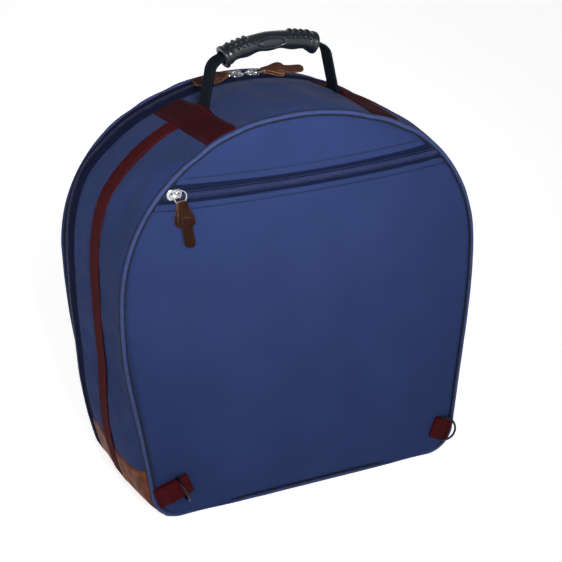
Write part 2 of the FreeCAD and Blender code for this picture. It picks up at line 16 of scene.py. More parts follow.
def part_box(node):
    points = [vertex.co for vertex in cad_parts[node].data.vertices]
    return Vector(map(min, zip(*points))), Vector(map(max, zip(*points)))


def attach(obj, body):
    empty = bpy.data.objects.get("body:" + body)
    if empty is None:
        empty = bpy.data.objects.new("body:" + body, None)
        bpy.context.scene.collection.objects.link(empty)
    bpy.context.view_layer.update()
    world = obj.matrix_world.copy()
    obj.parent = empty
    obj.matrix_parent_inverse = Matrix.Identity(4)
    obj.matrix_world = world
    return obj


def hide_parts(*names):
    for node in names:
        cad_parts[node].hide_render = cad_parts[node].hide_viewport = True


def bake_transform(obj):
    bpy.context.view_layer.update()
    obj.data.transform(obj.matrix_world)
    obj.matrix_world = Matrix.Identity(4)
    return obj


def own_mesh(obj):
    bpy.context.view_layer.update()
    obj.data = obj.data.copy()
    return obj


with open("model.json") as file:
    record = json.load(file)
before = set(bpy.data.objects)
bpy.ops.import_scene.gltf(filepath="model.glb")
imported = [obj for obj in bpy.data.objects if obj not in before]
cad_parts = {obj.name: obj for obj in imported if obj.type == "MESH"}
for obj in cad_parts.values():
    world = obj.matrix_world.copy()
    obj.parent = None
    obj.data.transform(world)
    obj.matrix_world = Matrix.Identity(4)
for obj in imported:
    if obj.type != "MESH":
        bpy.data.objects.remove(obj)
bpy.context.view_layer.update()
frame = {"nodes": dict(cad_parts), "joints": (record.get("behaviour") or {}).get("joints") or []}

MM = 0.001
OUT_OF_BACK = np.array([0.0, -1.0, 0.0])
ALONG_Y = np.array([0.0, 1.0, 0.0])


def cad_box(node):
    """Lowest and highest corner of a CAD node, in millimetres."""
    low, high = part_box(node)
    return np.array(low) / MM, np.array(high) / MM


# ---------------------------------------------------------------- sizes

OUTLINE_LOW, OUTLINE_HIGH = cad_box("back_piping")
HALF_WIDTH = OUTLINE_HIGH[0]
HEIGHT = OUTLINE_HIGH[2]
HALF_DEPTH = -OUTLINE_LOW[1]
TOP_RADIUS = 270.5
SHOULDER_RADIUS = 169.0
SIDE_RADIUS = 815.0
SIDE_ARC_DROP = 100.0
CORNER_RADIUS = 34.0
PIPING_R = 2.2
SEAM_Y = HALF_DEPTH - 4.6
COVER_Y = HALF_DEPTH - 1.5
ZIP_EDGE_Y = 50.0
ZIP_Y = 70.0
ZIP_FOOT_Z = 16.0
STRAP_Y = -10.0
PATCH_START, PATCH_END = 78.8, 115.0
POCKET_ZIP_Z = 372.5
POCKET_MOUTH = 23.0
POCKET_STITCH_OUT = 7.0
POCKET_OVERLAP = 3.0
UPPER_HEM_SAG = 3.6
TOOTH_PITCH = 2.1
LINING_OUT = -11.3
SIDES = {"left": -1, "right": 1}

scene = bpy.context.scene


# ---------------------------------------------------------------- outline

def arc_points(centre, radius, start, end, step=1.0):
    """Points and outward normals along an arc, with the angles in degrees."""
    count = max(2, int(abs(math.radians(end - start)) * radius / step))
    turn = np.radians(np.linspace(start, end, count))
    normal = np.stack([np.cos(turn), np.sin(turn)], 1)
    return np.array(centre) + radius * normal, normal


def outline_table():
    """Arc length, x, z and outward normal down the right half of the outline, from the top."""
    top = (0, HEIGHT - TOP_RADIUS)
    reach = HALF_WIDTH - SHOULDER_RADIUS
    rise = math.sqrt((TOP_RADIUS - SHOULDER_RADIUS) ** 2 - reach**2)
    shoulder = (reach, top[1] + rise)
    top_end = math.degrees(math.atan2(rise, reach))
    side_end = -math.degrees(math.asin(SIDE_ARC_DROP / SIDE_RADIUS))
    side = (HALF_WIDTH - SIDE_RADIUS, shoulder[1])
    foot = arc_points(side, SIDE_RADIUS, side_end, side_end)[0][0]
    lean = math.radians(side_end)
    reach_in = CORNER_RADIUS + math.sin(lean) * (CORNER_RADIUS - foot[1])
    corner = (foot[0] - reach_in / math.cos(lean), CORNER_RADIUS)
    runs = [
        arc_points(top, TOP_RADIUS, 90, top_end),
        arc_points(shoulder, SHOULDER_RADIUS, top_end, 0),
        arc_points(side, SIDE_RADIUS, 0, side_end),
        arc_points(corner, CORNER_RADIUS, side_end, -90),
        (np.array([[0.0, 0.0]]), np.array([[0.0, -1.0]])),
    ]
    places = np.concatenate([run[0] for run in runs])
    normals = np.concatenate([run[1] for run in runs])
    steps = np.linalg.norm(np.diff(places, axis=0), axis=1)
    length = np.concatenate([[0], np.cumsum(steps)])
    keep = np.concatenate([[True], steps > 1e-6])
    return length[keep], places[keep], normals[keep]


RIM_S, RIM_PLACE, RIM_NORMAL = outline_table()
HALF_RIM = RIM_S[-1]


def s_at_height(z):
    """Distance along the outline to a height, on the way down the side."""
    return float(np.interp(-z, -RIM_PLACE[:, 1], RIM_S))


LEFT_FLANK_S = s_at_height(195)


def edge_bulge(s):
    """How far the top of the back edge stands proud of the outline, mostly beside the left patch."""
    flank = 3.6 * np.exp(-(((s + LEFT_FLANK_S) / 75) ** 2))
    return 4.6 * np.exp(-(((s + 78) / 48) ** 2)) + 1.6 * np.exp(-((s / 50) ** 2)) + flank


def overhang(x):
    """Share of the pocket's overhang along the bottom, which is most near the lower corners."""
    return np.exp(-(((np.abs(x) - 133) / 30) ** 2))


def rim(s, y, out=0.0):
    """Place in space of (s, y, out), which may be arrays."""
    s, y, out = np.broadcast_arrays(np.asarray(s, float), y, out)
    out = out + edge_bulge(s) * np.exp(-(((y + HALF_DEPTH) / 38) ** 2))
    near = np.abs(s)
    side = np.sign(s)
    x, z, nx, nz = (
        np.interp(near, RIM_S, column)
        for column in (RIM_PLACE[:, 0], RIM_PLACE[:, 1], RIM_NORMAL[:, 0], RIM_NORMAL[:, 1])
    )
    size = np.hypot(nx, nz)
    return np.stack([side * (x + out * nx / size), y, z + out * nz / size], -1)


def rim_out(s, y):
    """The way out of the wall at (s, y)."""
    return rim(s, y, 1.0) - rim(s, y, 0.0)


def half_width_at(z, inset):
    """Half the outline's width at a height, inset from it, for heights up to the shoulders."""
    inner = RIM_PLACE - inset * RIM_NORMAL
    wide = inner[:, 1] < RIM_PLACE[0, 1] - inset - 0.01
    return np.interp(-np.asarray(z, float), -inner[wide, 1], inner[wide, 0])


def top_at(x, inset):
    """Height of the outline's top at a given x, inset from it."""
    inner = RIM_PLACE - inset * RIM_NORMAL
    upper = inner[:, 1] > RIM_PLACE[:, 1].max() * 0.6
    return np.interp(np.abs(x), inner[upper, 0], inner[upper, 1])


def outline_grid(inset, heights, columns):
    """x and z of a grid that fills the outline, inset from it, with rows at the given heights."""
    z, u = np.meshgrid(heights, columns, indexing="ij")
    return u * half_width_at(z, inset), z


def full_heights(inset, count):
    """Row heights from the foot of the outline to its top, closer together under the arch."""
    top = HEIGHT - inset - 0.25
    foot = inset + np.array([0, 1.5, 4, 8, 13])
    arch = 1 - (1 - np.linspace(0, 1, 26)) ** 2.4
    return np.concatenate([foot, np.linspace(inset + 20, 300, count), 300 + (top - 300) * arch[1:]])


def profile(table):
    """Function of distance along the outline, from (z or None, s or None, value) rows."""
    places = [s if z is None else s_at_height(z) for z, s, _ in table]
    values = [value for _, _, value in table]
    fine = np.linspace(0, HALF_RIM, 600)
    rough = np.interp(fine, places, values)
    kernel = np.hanning(31)
    padded_values = np.pad(rough, 15, mode="edge")
    smooth = np.convolve(padded_values, kernel / kernel.sum(), mode="valid")
    return lambda s: np.interp(np.abs(s), fine, smooth)


# How far the padded gusset swells past the outline, along its middle and along the zip's edge.
MIDDLE_SWELL = profile([
    (None, 0, 8), (None, 45, 7), (None, 78, 2.5), (None, 97, 1.5), (None, 116, 2.5),
    (346, None, 6.5), (304, None, 0.5), (273, None, -2.5), (241, None, -2.5), (165, None, 0.5),
    (140, None, 4.5), (108, None, 9), (83, None, 10.5), (63, None, 10), (41, None, 8.5),
    (21, None, 5.5), (6, None, 1.2), (1, None, 0),
])
ZIP_SWELL = profile([
    (None, 0, 0), (None, 105, 0), (400, None, 2), (383, None, 3.2), (367, None, 5.8),
    (351, None, 8), (329, None, 5.6), (280, None, 0.5), (248, None, 0.5), (165, None, 4),
    (113, None, 8.9), (87, None, 8.8), (62, None, 8), (32, None, 4.6), (8, None, 0.3),
    (1, None, 0),
])


def swell(s, y):
    """Height of the padded wall above the outline, pulled in at the seams."""
    s, y = np.broadcast_arrays(np.asarray(s, float), np.asarray(y, float))
    middle, edge = MIDDLE_SWELL(s), ZIP_SWELL(s)
    back_share = np.clip((y + SEAM_Y) / (SEAM_Y + STRAP_Y), 0, 1)
    back = middle * np.sin(back_share * math.pi / 2) ** 0.8
    mid_share = np.clip((y - STRAP_Y) / (ZIP_EDGE_Y - STRAP_Y), 0, 1)
    ease = mid_share**2 * (3 - 2 * mid_share)
    mid = middle * (1 - ease) + edge * ease
    front_share = np.clip((y - ZIP_EDGE_Y) / (SEAM_Y - ZIP_EDGE_Y), 0, 1)
    front = edge * np.cos(front_share * math.pi / 2) ** 0.5 + 1.5 * np.sin(front_share * math.pi)
    return np.where(y < STRAP_Y, back, np.where(y < ZIP_EDGE_Y, mid, front))


# ---------------------------------------------------------------- meshes

def mesh_object(name, points, faces, uv=None, smooth=True):
    """Mesh object from points in millimetres. uv is one (u, v) in millimetres for each point."""
    mesh = bpy.data.meshes.new(name)
    mesh.from_pydata((np.asarray(points, float).reshape(-1, 3) * MM).tolist(), [], faces)
    if uv is not None:
        layer = mesh.uv_layers.new(name="UVMap")
        loops = np.zeros(len(mesh.loops), np.int32)
        mesh.loops.foreach_get("vertex_index", loops)
        layer.data.foreach_set("uv", (np.asarray(uv, float).reshape(-1, 2)[loops] * MM).ravel())
    mesh.validate()
    mesh.update()
    if smooth:
        mesh.polygons.foreach_set("use_smooth", [True] * len(mesh.polygons))
    made = bpy.data.objects.new(name, mesh)
    scene.collection.objects.link(made)
    return made


def grid_faces(rows, columns, close_rows=False, close_columns=False, start=0):
    """Quads of a grid of points, optionally joined end to end either way."""
    faces = []
    for i in range(rows if close_rows else rows - 1):
        for j in range(columns if close_columns else columns - 1):
            a, b = i * columns + j, i * columns + (j + 1) % columns
            below = ((i + 1) % rows) * columns
            faces.append([start + a, start + b, start + below + (j + 1) % columns, start + below + j])
    return faces


def grid_object(name, points, uv=None, **closed):
    rows, columns = points.shape[:2]
    return mesh_object(name, points, grid_faces(rows, columns, **closed), uv)


def joined(name, parts):
    """One object from several (points, faces, uv) parts."""
    points, faces, uvs, count = [], [], [], 0
    for part_points, part_faces, part_uv in parts:
        flat = np.asarray(part_points, float).reshape(-1, 3)
        points.append(flat)
        uvs.append(np.asarray(part_uv, float).reshape(-1, 2))
        faces += [[index + count for index in face] for face in part_faces]
        count += len(flat)
    return mesh_object(name, np.concatenate(points), faces, np.concatenate(uvs))


def finish_piece(piece, body, look, replaced=()):
    """Gives a piece its body and material, and hides the CAD nodes that it stands for."""
    piece.data.materials.clear()
    for one in look if isinstance(look, (list, tuple)) else [look]:
        piece.data.materials.append(one)
    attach(piece, body)
    if replaced:
        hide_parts(*replaced)
    return piece


def refine(piece):
    """Rounds a piece off with one level of subdivision."""
    modifier = piece.modifiers.new("refine", "SUBSURF")
    modifier.levels = 1
    modifier.render_levels = 1


def coordinates(piece):
    """The piece's points in millimetres."""
    points = np.zeros(len(piece.data.vertices) * 3)
    piece.data.vertices.foreach_get("co", points)
    return points.reshape(-1, 3) / MM


def set_coordinates(piece, points):
    piece.data.vertices.foreach_set("co", (np.asarray(points) * MM).ravel())
    piece.data.update()


def noise_field(points, size, seed):
    """Smooth noise from -1 to 1 at each point, with features of the given size in millimetres."""
    shift = Vector((seed * 13.7, seed * 7.1, seed * 3.3))
    return np.array([noise.noise(Vector(p) / size + shift) for p in np.asarray(points, float)])


def noise_grid(x, y, z, size, seed):
    """noise_field over coordinates given as separate arrays, in the shape of those arrays."""
    places = np.stack(np.broadcast_arrays(x, y, z), -1)
    return noise_field(places.reshape(-1, 3), size, seed).reshape(places.shape[:-1])


def settle(piece, held, pressure, slack, cap):
    """Cloth simulation of a fabric piece that is sewn down at its held points.

    Pressure is the padding behind it and slack is the share of spare cloth, which wrinkles it.
    """
    start = coordinates(piece)
    group = piece.vertex_groups.new(name="held")
    group.add([int(i) for i in np.flatnonzero(held)], 1.0, "REPLACE")
    cloth = piece.modifiers.new("cloth", "CLOTH")
    settings = cloth.settings
    settings.quality = 6
    settings.mass = 0.15
    settings.tension_stiffness = 30
    settings.compression_stiffness = 30
    settings.shear_stiffness = 12
    settings.bending_stiffness = 1.5
    settings.vertex_group_mass = "held"
    settings.use_pressure = True
    settings.uniform_pressure_force = pressure
    settings.shrink_min = -slack
    settings.effector_weights.gravity = 0
    cloth.collision_settings.use_collision = False
    cloth.point_cache.frame_start = 1
    cloth.point_cache.frame_end = 20
    for number in range(1, 21):
        scene.frame_set(number)
    shown = piece.evaluated_get(bpy.context.evaluated_depsgraph_get()).to_mesh()
    moved = np.zeros(len(shown.vertices) * 3)
    shown.vertices.foreach_get("co", moved)
    move = moved.reshape(-1, 3) / MM - start
    size = np.linalg.norm(move, axis=1, keepdims=True)
    move *= cap * np.tanh(size / cap) / np.maximum(size, 1e-9)
    piece.modifiers.remove(cloth)
    piece.vertex_groups.remove(group)
    scene.frame_set(1)
    set_coordinates(piece, start + move)


def ribbon(line, across, up, half_width, thick, edge=None):
    """Strap along a line of points, as a closed rounded section: points, faces and uv.

    across and up are unit vectors at each point of the line. Its lower face lies on the line.
    """
    edge = thick * 0.42 if edge is None else edge
    flat = np.linspace(-1, 1, 9) * (half_width - edge)
    low = [(w, 0.0) for w in flat]
    high = [(w, thick) for w in flat[::-1]]
    section = low + [(half_width, edge), (half_width, thick - edge)]
    section += high + [(-half_width, thick - edge), (-half_width, edge)]
    section = np.array(section)
    line, across, up = (np.asarray(a, float)[:, None, :] for a in (line, across, up))
    points = line + across * section[None, :, :1] + up * section[None, :, 1:]
    along = np.concatenate([[0], np.cumsum(np.linalg.norm(np.diff(line[:, 0], axis=0), axis=1))])
    uv = np.stack(np.broadcast_arrays(along[:, None], section[None, :, 0]), -1)
    rows, columns = points.shape[:2]
    faces = grid_faces(rows, columns, close_columns=True)
    last = (rows - 1) * columns
    faces.append(list(range(columns)))
    faces.append([last + j for j in range(columns)][::-1])
    return points, faces, uv


def tube(path, radius, sides=10, closed=True):
    """Round cord of points round a closed or open path: points, faces and uv."""
    path = np.asarray(path, float)
    ahead = np.roll(path, -1, 0) - np.roll(path, 1, 0)
    if not closed:
        ahead[0], ahead[-1] = path[1] - path[0], path[-1] - path[-2]
    ahead /= np.linalg.norm(ahead, axis=1, keepdims=True)
    guide = np.array([0.0, 1.0, 0.0])
    if np.abs(ahead @ guide).max() > 0.9:
        guide = np.array([0.0, 0.0, 1.0])
    side = np.cross(ahead, guide)
    side /= np.linalg.norm(side, axis=1, keepdims=True)
    up = np.cross(side, ahead)
    turn = np.linspace(0, 2 * math.pi, sides, endpoint=False)
    radius = np.broadcast_to(np.asarray(radius, float), len(path))[:, None, None]
    ring = side[:, None] * np.cos(turn)[None, :, None] + up[:, None] * np.sin(turn)[None, :, None]
    points = path[:, None] + radius * ring
    steps = np.linalg.norm(np.diff(path, axis=0), axis=1)
    along = np.concatenate([[0], np.cumsum(steps)])
    uv = np.stack(np.broadcast_arrays(along[:, None], (turn * radius[0, 0, 0])[None]), -1)
    faces = grid_faces(len(path), sides, close_rows=closed, close_columns=True)
    if not closed:
        last = (len(path) - 1) * sides
        faces += [list(range(sides))[::-1], [last + j for j in range(sides)]]
    return points, faces, uv


def capsules(places, along, up, length, width, thick):
    """Many small rounded bars, such as stitches or zip teeth: points, faces and uv."""
    places, along, up = (np.asarray(a, float) for a in (places, along, up))
    along = along / np.linalg.norm(along, axis=1, keepdims=True)
    side = np.cross(along, up)
    side /= np.linalg.norm(side, axis=1, keepdims=True)
    up = np.cross(side, along)
    stations = [(-0.5, 0.35), (-0.36, 0.85), (0, 1.0), (0.36, 0.85), (0.5, 0.35)]
    sides = 6
    local = []
    for place, share in stations:
        for k in range(sides):
            turn = 2 * math.pi * k / sides
            local.append((place * length, share * math.cos(turn) * width / 2,
                          share * math.sin(turn) * thick / 2))
    local = np.array(local)
    points = (places[:, None] + along[:, None] * local[None, :, :1]
              + side[:, None] * local[None, :, 1:2] + up[:, None] * local[None, :, 2:])
    per = len(local)
    one = grid_faces(len(stations), sides, close_columns=True)
    one += [list(range(sides))[::-1], [per - sides + k for k in range(sides)]]
    faces = [[index + i * per for index in face] for i in range(len(places)) for face in one]
    uv = np.broadcast_to(local[None, :, :2], (len(places), per, 2))
    return points, faces, uv


def stitches(line, up, pitch=4.2, length=3.0, thick=0.75, sink=0.1):
    """Row of stitches along a line of points with a surface normal at each."""
    line, up = np.asarray(line, float), np.asarray(up, float)
    steps = np.linalg.norm(np.diff(line, axis=0), axis=1)
    along = np.concatenate([[0], np.cumsum(steps)])
    count = max(1, int(along[-1] / pitch))
    centres = (np.arange(count) + 0.5) * along[-1] / count

    def at(distance, values):
        return np.stack([np.interp(distance, along, values[:, k]) for k in range(3)], 1)

    ahead = at(centres + 0.5, line) - at(centres - 0.5, line)
    normal = at(centres, up)
    places = at(centres, line) - normal * sink
    return capsules(places, ahead, normal, length, thick, thick * 0.8)


# ---------------------------------------------------------------- materials

def linear(colour):
    """Linear colour from sRGB values out of 255."""
    parts = [c / 255 for c in colour]
    return [p / 12.92 if p <= 0.04045 else ((p + 0.055) / 1.055) ** 2.4 for p in parts]


class Look:
    """A material and the few node helpers that the finishes below share."""

    def __init__(self, name, colour, roughness, metallic=0.0, sheen=0.0, coat=0.0, specular=0.25):
        self.material = bpy.data.materials.new(name)
        self.material.use_nodes = True
        self.nodes = self.material.node_tree.nodes
        self.links = self.material.node_tree.links
        self.shader = self.nodes["Principled BSDF"]
        self.colour = linear(colour)
        self.shader.inputs["Base Color"].default_value = [*self.colour, 1]
        self.shader.inputs["Roughness"].default_value = roughness
        self.shader.inputs["Metallic"].default_value = metallic
        self.shader.inputs["Sheen Weight"].default_value = sheen
        self.shader.inputs["Sheen Roughness"].default_value = 0.5
        self.shader.inputs["Coat Weight"].default_value = coat
        self.shader.inputs["Specular IOR Level"].default_value = specular
        self.material.diffuse_color = [*self.colour, 1]
        self.height = None

    def node(self, kind, **values):
        made = self.nodes.new(kind)
        for key, value in values.items():
            if key in made.inputs:
                made.inputs[key].default_value = value
            else:
                setattr(made, key, value)
        return made

    def place(self, use_uv):
        coordinate = self.node("ShaderNodeTexCoord")
        return coordinate.outputs["UV" if use_uv else "Object"]

    def waves(self, pitch_mm, direction, distortion=0.0):
        """Even ridges at a pitch, along X, Y or the diagonal of the piece's own coordinates."""
        wave = self.node("ShaderNodeTexWave", bands_direction=direction, Distortion=distortion,
                         Scale=2 * math.pi / (20 * pitch_mm * MM))
        wave.inputs["Detail"].default_value = 0.0
        self.links.new(self.place(True), wave.inputs["Vector"])
        return wave.outputs["Fac"]

    def speckle(self, size_mm, detail=2.0, use_uv=False):
        made = self.node("ShaderNodeTexNoise", Scale=1 / (size_mm * MM), Detail=detail)
        self.links.new(self.place(use_uv), made.inputs["Vector"])
        return made.outputs["Fac"]

    def cells(self, size_mm):
        made = self.node("ShaderNodeTexVoronoi", feature="F1", Scale=1 / (size_mm * MM))
        self.links.new(self.place(False), made.inputs["Vector"])
        return made.outputs["Distance"]

    def maths(self, operation, a, b):
        made = self.node("ShaderNodeMath", operation=operation)
        for socket, value in zip(made.inputs, (a, b)):
            if isinstance(value, (int, float)):
                socket.default_value = value
            else:
                self.links.new(value, socket)
        return made.outputs[0]

    def spread(self, factor, low, high):
        made = self.node("ShaderNodeMapRange")
        made.inputs["From Min"].default_value = 0.3
        made.inputs["From Max"].default_value = 0.7
        made.inputs["To Min"].default_value = low
        made.inputs["To Max"].default_value = high
        self.links.new(factor, made.inputs["Value"])
        return made.outputs["Result"]

    def two_tone(self, factor, darker, lighter):
        """Colour between two shades of the base, by a factor from 0 to 1."""
        made = self.node("ShaderNodeMix", data_type="RGBA")
        shades = [[min(1, c * k) for c in self.colour] + [1] for k in (darker, lighter)]
        made.inputs[6].default_value = shades[0]
        made.inputs[7].default_value = shades[1]
        self.links.new(factor, made.inputs[0])
        self.links.new(made.outputs[2], self.shader.inputs["Base Color"])

    def rough(self, factor, low, high):
        self.links.new(self.spread(factor, low, high), self.shader.inputs["Roughness"])

    def bump(self, height, distance_mm, strength=1.0):
        made = self.node("ShaderNodeBump", Distance=distance_mm * MM, Strength=strength)
        self.links.new(height, made.inputs["Height"])
        if self.height is not None:
            self.links.new(self.height, made.inputs["Normal"])
        self.height = made.outputs["Normal"]
        self.links.new(self.height, self.shader.inputs["Normal"])


def canvas(name, colour, roughness=0.82, pitch=0.9):
    """Close plain-weave polyester with slow shading across it."""
    look = Look(name, colour, roughness, sheen=0.02, specular=0.02)
    warp, weft = look.waves(pitch, "X"), look.waves(pitch, "Y")
    weave = look.maths("MULTIPLY", warp, weft)
    slow = look.speckle(60, 3)
    fleck = look.speckle(1.2, 1, use_uv=True)
    mixed = look.maths("ADD", look.maths("MULTIPLY", slow, 0.55), look.maths("MULTIPLY", weave, 0.2))
    mixed = look.maths("ADD", mixed, look.maths("MULTIPLY", fleck, 0.3))
    look.two_tone(look.spread(mixed, 0.0, 1.0), 0.88, 1.14)
    look.rough(look.speckle(25, 2), roughness - 0.08, roughness + 0.08)
    look.bump(weave, 0.22, 0.6)
    look.bump(look.speckle(9, 3), 0.5, 0.35)
    return look.material


def webbing(name, colour, pitch, along="X", depth=0.5):
    """Ribbed webbing: ribs across it, with fine yarns along it."""
    look = Look(name, colour, 0.8, specular=0.03)
    ribs = look.waves(pitch, along, distortion=0.4)
    yarns = look.waves(0.8, "Y" if along == "X" else "X")
    fleck = look.speckle(1.5, 2, use_uv=True)
    shade = look.maths("ADD", look.maths("MULTIPLY", ribs, 0.55), look.maths("MULTIPLY", fleck, 0.4))
    look.two_tone(look.spread(shade, 0.0, 1.0), 0.62, 1.35)
    look.bump(ribs, depth, 0.8)
    look.bump(yarns, 0.15, 0.5)
    return look.material


def leather(name, colour, grain=1.3, roughness=0.55):
    """Grained leather with a mottled dye."""
    look = Look(name, colour, roughness, specular=0.05)
    cells = look.cells(grain)
    slow = look.speckle(14, 4)
    look.two_tone(look.spread(slow, 0.0, 1.0), 0.62, 1.5)
    look.rough(slow, roughness + 0.12, roughness - 0.12)
    look.bump(cells, 0.25, 0.6)
    look.bump(look.speckle(5, 4), 0.6, 0.5)
    return look.material


def cord_cloth(name, colour):
    """Cloth wrapped round a piping cord, with fine creases across it."""
    look = Look(name, colour, 0.75, sheen=0.02)
    look.two_tone(look.spread(look.speckle(7, 3), 0.0, 1.0), 0.85, 1.2)
    look.bump(look.waves(1.1, "X", distortion=1.5), 0.15, 0.6)
    look.bump(look.speckle(2.5, 3), 0.3, 0.5)
    return look.material


def zip_tape(name, colour):
    """Knitted zip tape, with ribs along it."""
    look = Look(name, colour, 0.85, specular=0.02)
    ribs = look.waves(1.3, "Y")
    chevrons = look.waves(1.0, "DIAGONAL")
    shade = look.maths("MULTIPLY", ribs, chevrons)
    look.two_tone(shade, 0.75, 1.35)
    look.bump(ribs, 0.25, 0.7)
    look.bump(chevrons, 0.15, 0.6)
    return look.material


def moulded(name, colour, roughness, coat=0.0, specular=0.25):
    """Moulded plastic or rubber with a fine spark-eroded texture."""
    look = Look(name, colour, roughness, coat=coat, specular=specular)
    look.two_tone(look.spread(look.speckle(18, 3), 0.0, 1.0), 0.85, 1.18)
    look.rough(look.speckle(6, 3), roughness - 0.08, roughness + 0.1)
    look.bump(look.speckle(0.8, 2), 0.12, 0.5)
    return look.material


def metal(name, colour, roughness):
    """Plated metal with light handling marks."""
    look = Look(name, colour, roughness, metallic=1.0)
    look.two_tone(look.spread(look.speckle(3, 3), 0.0, 1.0), 0.88, 1.05)
    look.rough(look.speckle(2, 4), roughness - 0.06, roughness + 0.14)
    look.bump(look.speckle(0.8, 2), 0.03, 0.4)
    return look.material


NAVY = canvas("navy_canvas", (35, 47, 84))
TAPE = zip_tape("zip_tape", (19, 24, 48))
POCKET_TAPE = zip_tape("pocket_zip_tape", (19, 26, 49))
COIL = moulded("nylon_coil", (38, 47, 88), 0.4, specular=0.25)
MAIN_COIL = moulded("main_nylon_coil", (22, 29, 58), 0.4, specular=0.15)
PIPING = cord_cloth("piping_cloth", (38, 51, 92))
LID_PIPING = cord_cloth("lid_piping_cloth", (32, 41, 78))
BURGUNDY = webbing("burgundy_webbing", (61, 15, 19), pitch=3.0, depth=0.8)
PATCH = webbing("burgundy_patch", (46, 11, 17), pitch=2.2, depth=0.6)
TAB_WEB = webbing("tab_webbing", (60, 15, 19), pitch=1.3, depth=0.3)
BLACK_WEB = webbing("black_webbing", (14, 20, 27), pitch=1.2, along="Y", depth=0.25)
LEATHER = leather("brown_leather", (84, 44, 25))
PULL = leather("pull_leather", (34, 17, 10), grain=0.9, roughness=0.55)
CUT_EDGE = leather("cut_leather_edge", (128, 100, 84), grain=0.6, roughness=0.8)
TOP_PULL = leather("top_pull_leather", (60, 38, 28), grain=0.9, roughness=0.6)
TOP_PULL_EDGE = leather("top_pull_edge", (92, 64, 50), grain=0.6, roughness=0.8)
SILVER = metal("silver_metal", (206, 208, 212), 0.2)
GUNMETAL = metal("gunmetal", (46, 46, 50), 0.3)
GRIP = moulded("grip_rubber", (15, 20, 26), 0.38, coat=0.2, specular=0.35)
LINING = canvas("black_lining", (34, 35, 40), 0.6, pitch=0.6)
BOARD = moulded("board_plastic", (40, 40, 42), 0.6)
BINDING = webbing("seam_binding_cloth", (24, 25, 30), pitch=1.2)
# Dark navy for the stitching thread, and also for the painted seam shadow beside the back piping.
NAVY_THREAD_AND_SEAM_SHADOW = cord_cloth("navy_thread_and_seam_shadow", (9, 13, 34))
BROWN_THREAD = cord_cloth("brown_thread", (52, 34, 28))
WINE_THREAD = cord_cloth("wine_thread", (46, 16, 20))


# ---------------------------------------------------------------- back panel and pocket

def panel_swell(x, z, low, high, most, reach):
    """Height of a padded panel that is sewn down at its edges."""
    side = half_width_at(np.clip(z, 6, 420), 4.6) - np.abs(x)
    gap = np.minimum(np.minimum(side, z - low), high - z)
    return most * (1 - np.exp(-((np.maximum(gap, 0) / reach) ** 1.6)))


def sagged(points):
    """Back panel points where the pocket's zip hangs a little low and bulges in the middle."""
    points = np.array(points, float)
    share = np.clip(1 - (points[..., 0] / 172) ** 2, 0, 1) ** 0.8
    near = share * np.exp(-(((points[..., 2] - POCKET_ZIP_Z) / 40) ** 2))
    points[..., 2] -= 6.2 * near
    points[..., 1] -= 3.2 * near
    return points


def back_front_panel():
    """Pocket's front panel: sewn in at the sides and bottom, with its top edge at the zip."""
    low, high = 3.2, POCKET_ZIP_Z - POCKET_MOUTH / 2 + POCKET_OVERLAP
    stitch = high - POCKET_STITCH_OUT
    rows = np.concatenate([
        np.array([0, 1.5, 4, 8, 12, 17]) + low, np.linspace(25, stitch - 7, 66),
        [stitch - 3, stitch - 1, stitch, stitch + 1, stitch + 3.5, high - 1],
    ])
    columns = np.linspace(-1, 1, 79)
    columns = np.sign(columns) * (1 - (1 - np.abs(columns)) ** 1.04)
    z, u = np.meshgrid(rows, columns, indexing="ij")
    x = u * half_width_at(z, low)
    tabs = np.exp(-(((np.abs(x) - 158) / 34) ** 2 + ((z - 34) / 26) ** 2))
    rise = panel_swell(x, z, low, high + 30, 8.0, 48) * (1 - 0.85 * tabs)
    zip_share = np.clip((high - z) / 90, 0, 1)
    rise *= 0.12 + 0.88 * zip_share**0.8
    seam = np.exp(-np.minimum(half_width_at(z, low) - np.abs(x), z - low) / 3.0)
    y = -COVER_Y - 0.6 - rise + 2.6 * seam
    piece = grid_object("pocket_front", np.stack([x, y, z], -1), np.stack([x, z], -1))
    edge = (np.abs(u) > 0.985) | (z < low + 3) | (z > stitch - 2) | (tabs > 0.55)
    settle(piece, edge.ravel(), 1.2, 0.004, 6.0)
    points = coordinates(piece).reshape(z.shape + (3,))
    drape = noise_grid(x / 34, z / 190, 0, 1.0, 4)
    fade = np.clip((high - z) / 60, 0, 1) * np.clip((z - low) / 60, 0, 1) * (1 - tabs)
    fade *= np.clip((half_width_at(z, low) - np.abs(x)) / 40, 0, 1)
    points[..., 1] -= 1.5 * drape * fade
    hem_sag = noise_grid(x / 45, 0, 0, 1.0, 9)
    points[..., 2] += 1.1 * hem_sag * np.exp(-z / 25) * (z > low + 1)
    hang = overhang(x)
    points[..., 1] -= hang * (3.4 * np.exp(-((z / 15) ** 2)) + 2.6 * np.exp(-(z - low) / 3.0)) * (z > low)
    points[..., 2] -= 2.6 * hang * np.exp(-(((z - low) / 7) ** 2))
    points[..., 1] += 0.7 * np.exp(-((z - stitch) / 1.3) ** 2)
    points = sagged(points)
    set_coordinates(piece, points.reshape(-1, 3))
    add_hem(piece, points[-1], 1)
    refine(piece)
    finish_piece(piece, "bag", NAVY, ["pocket_front_panel", "back_panel_foam"])
    return points


def upper_hem(points):
    """Points of the upper panel, let down a little more along its hem in the middle."""
    points = np.array(points, float)
    share = np.clip(1 - (points[..., 0] / 165) ** 2, 0, 1) ** 0.8
    hem = POCKET_ZIP_Z + POCKET_MOUTH / 2
    points[..., 2] -= UPPER_HEM_SAG * share * np.exp(-np.maximum(points[..., 2] - hem, 0) / 28)
    return points


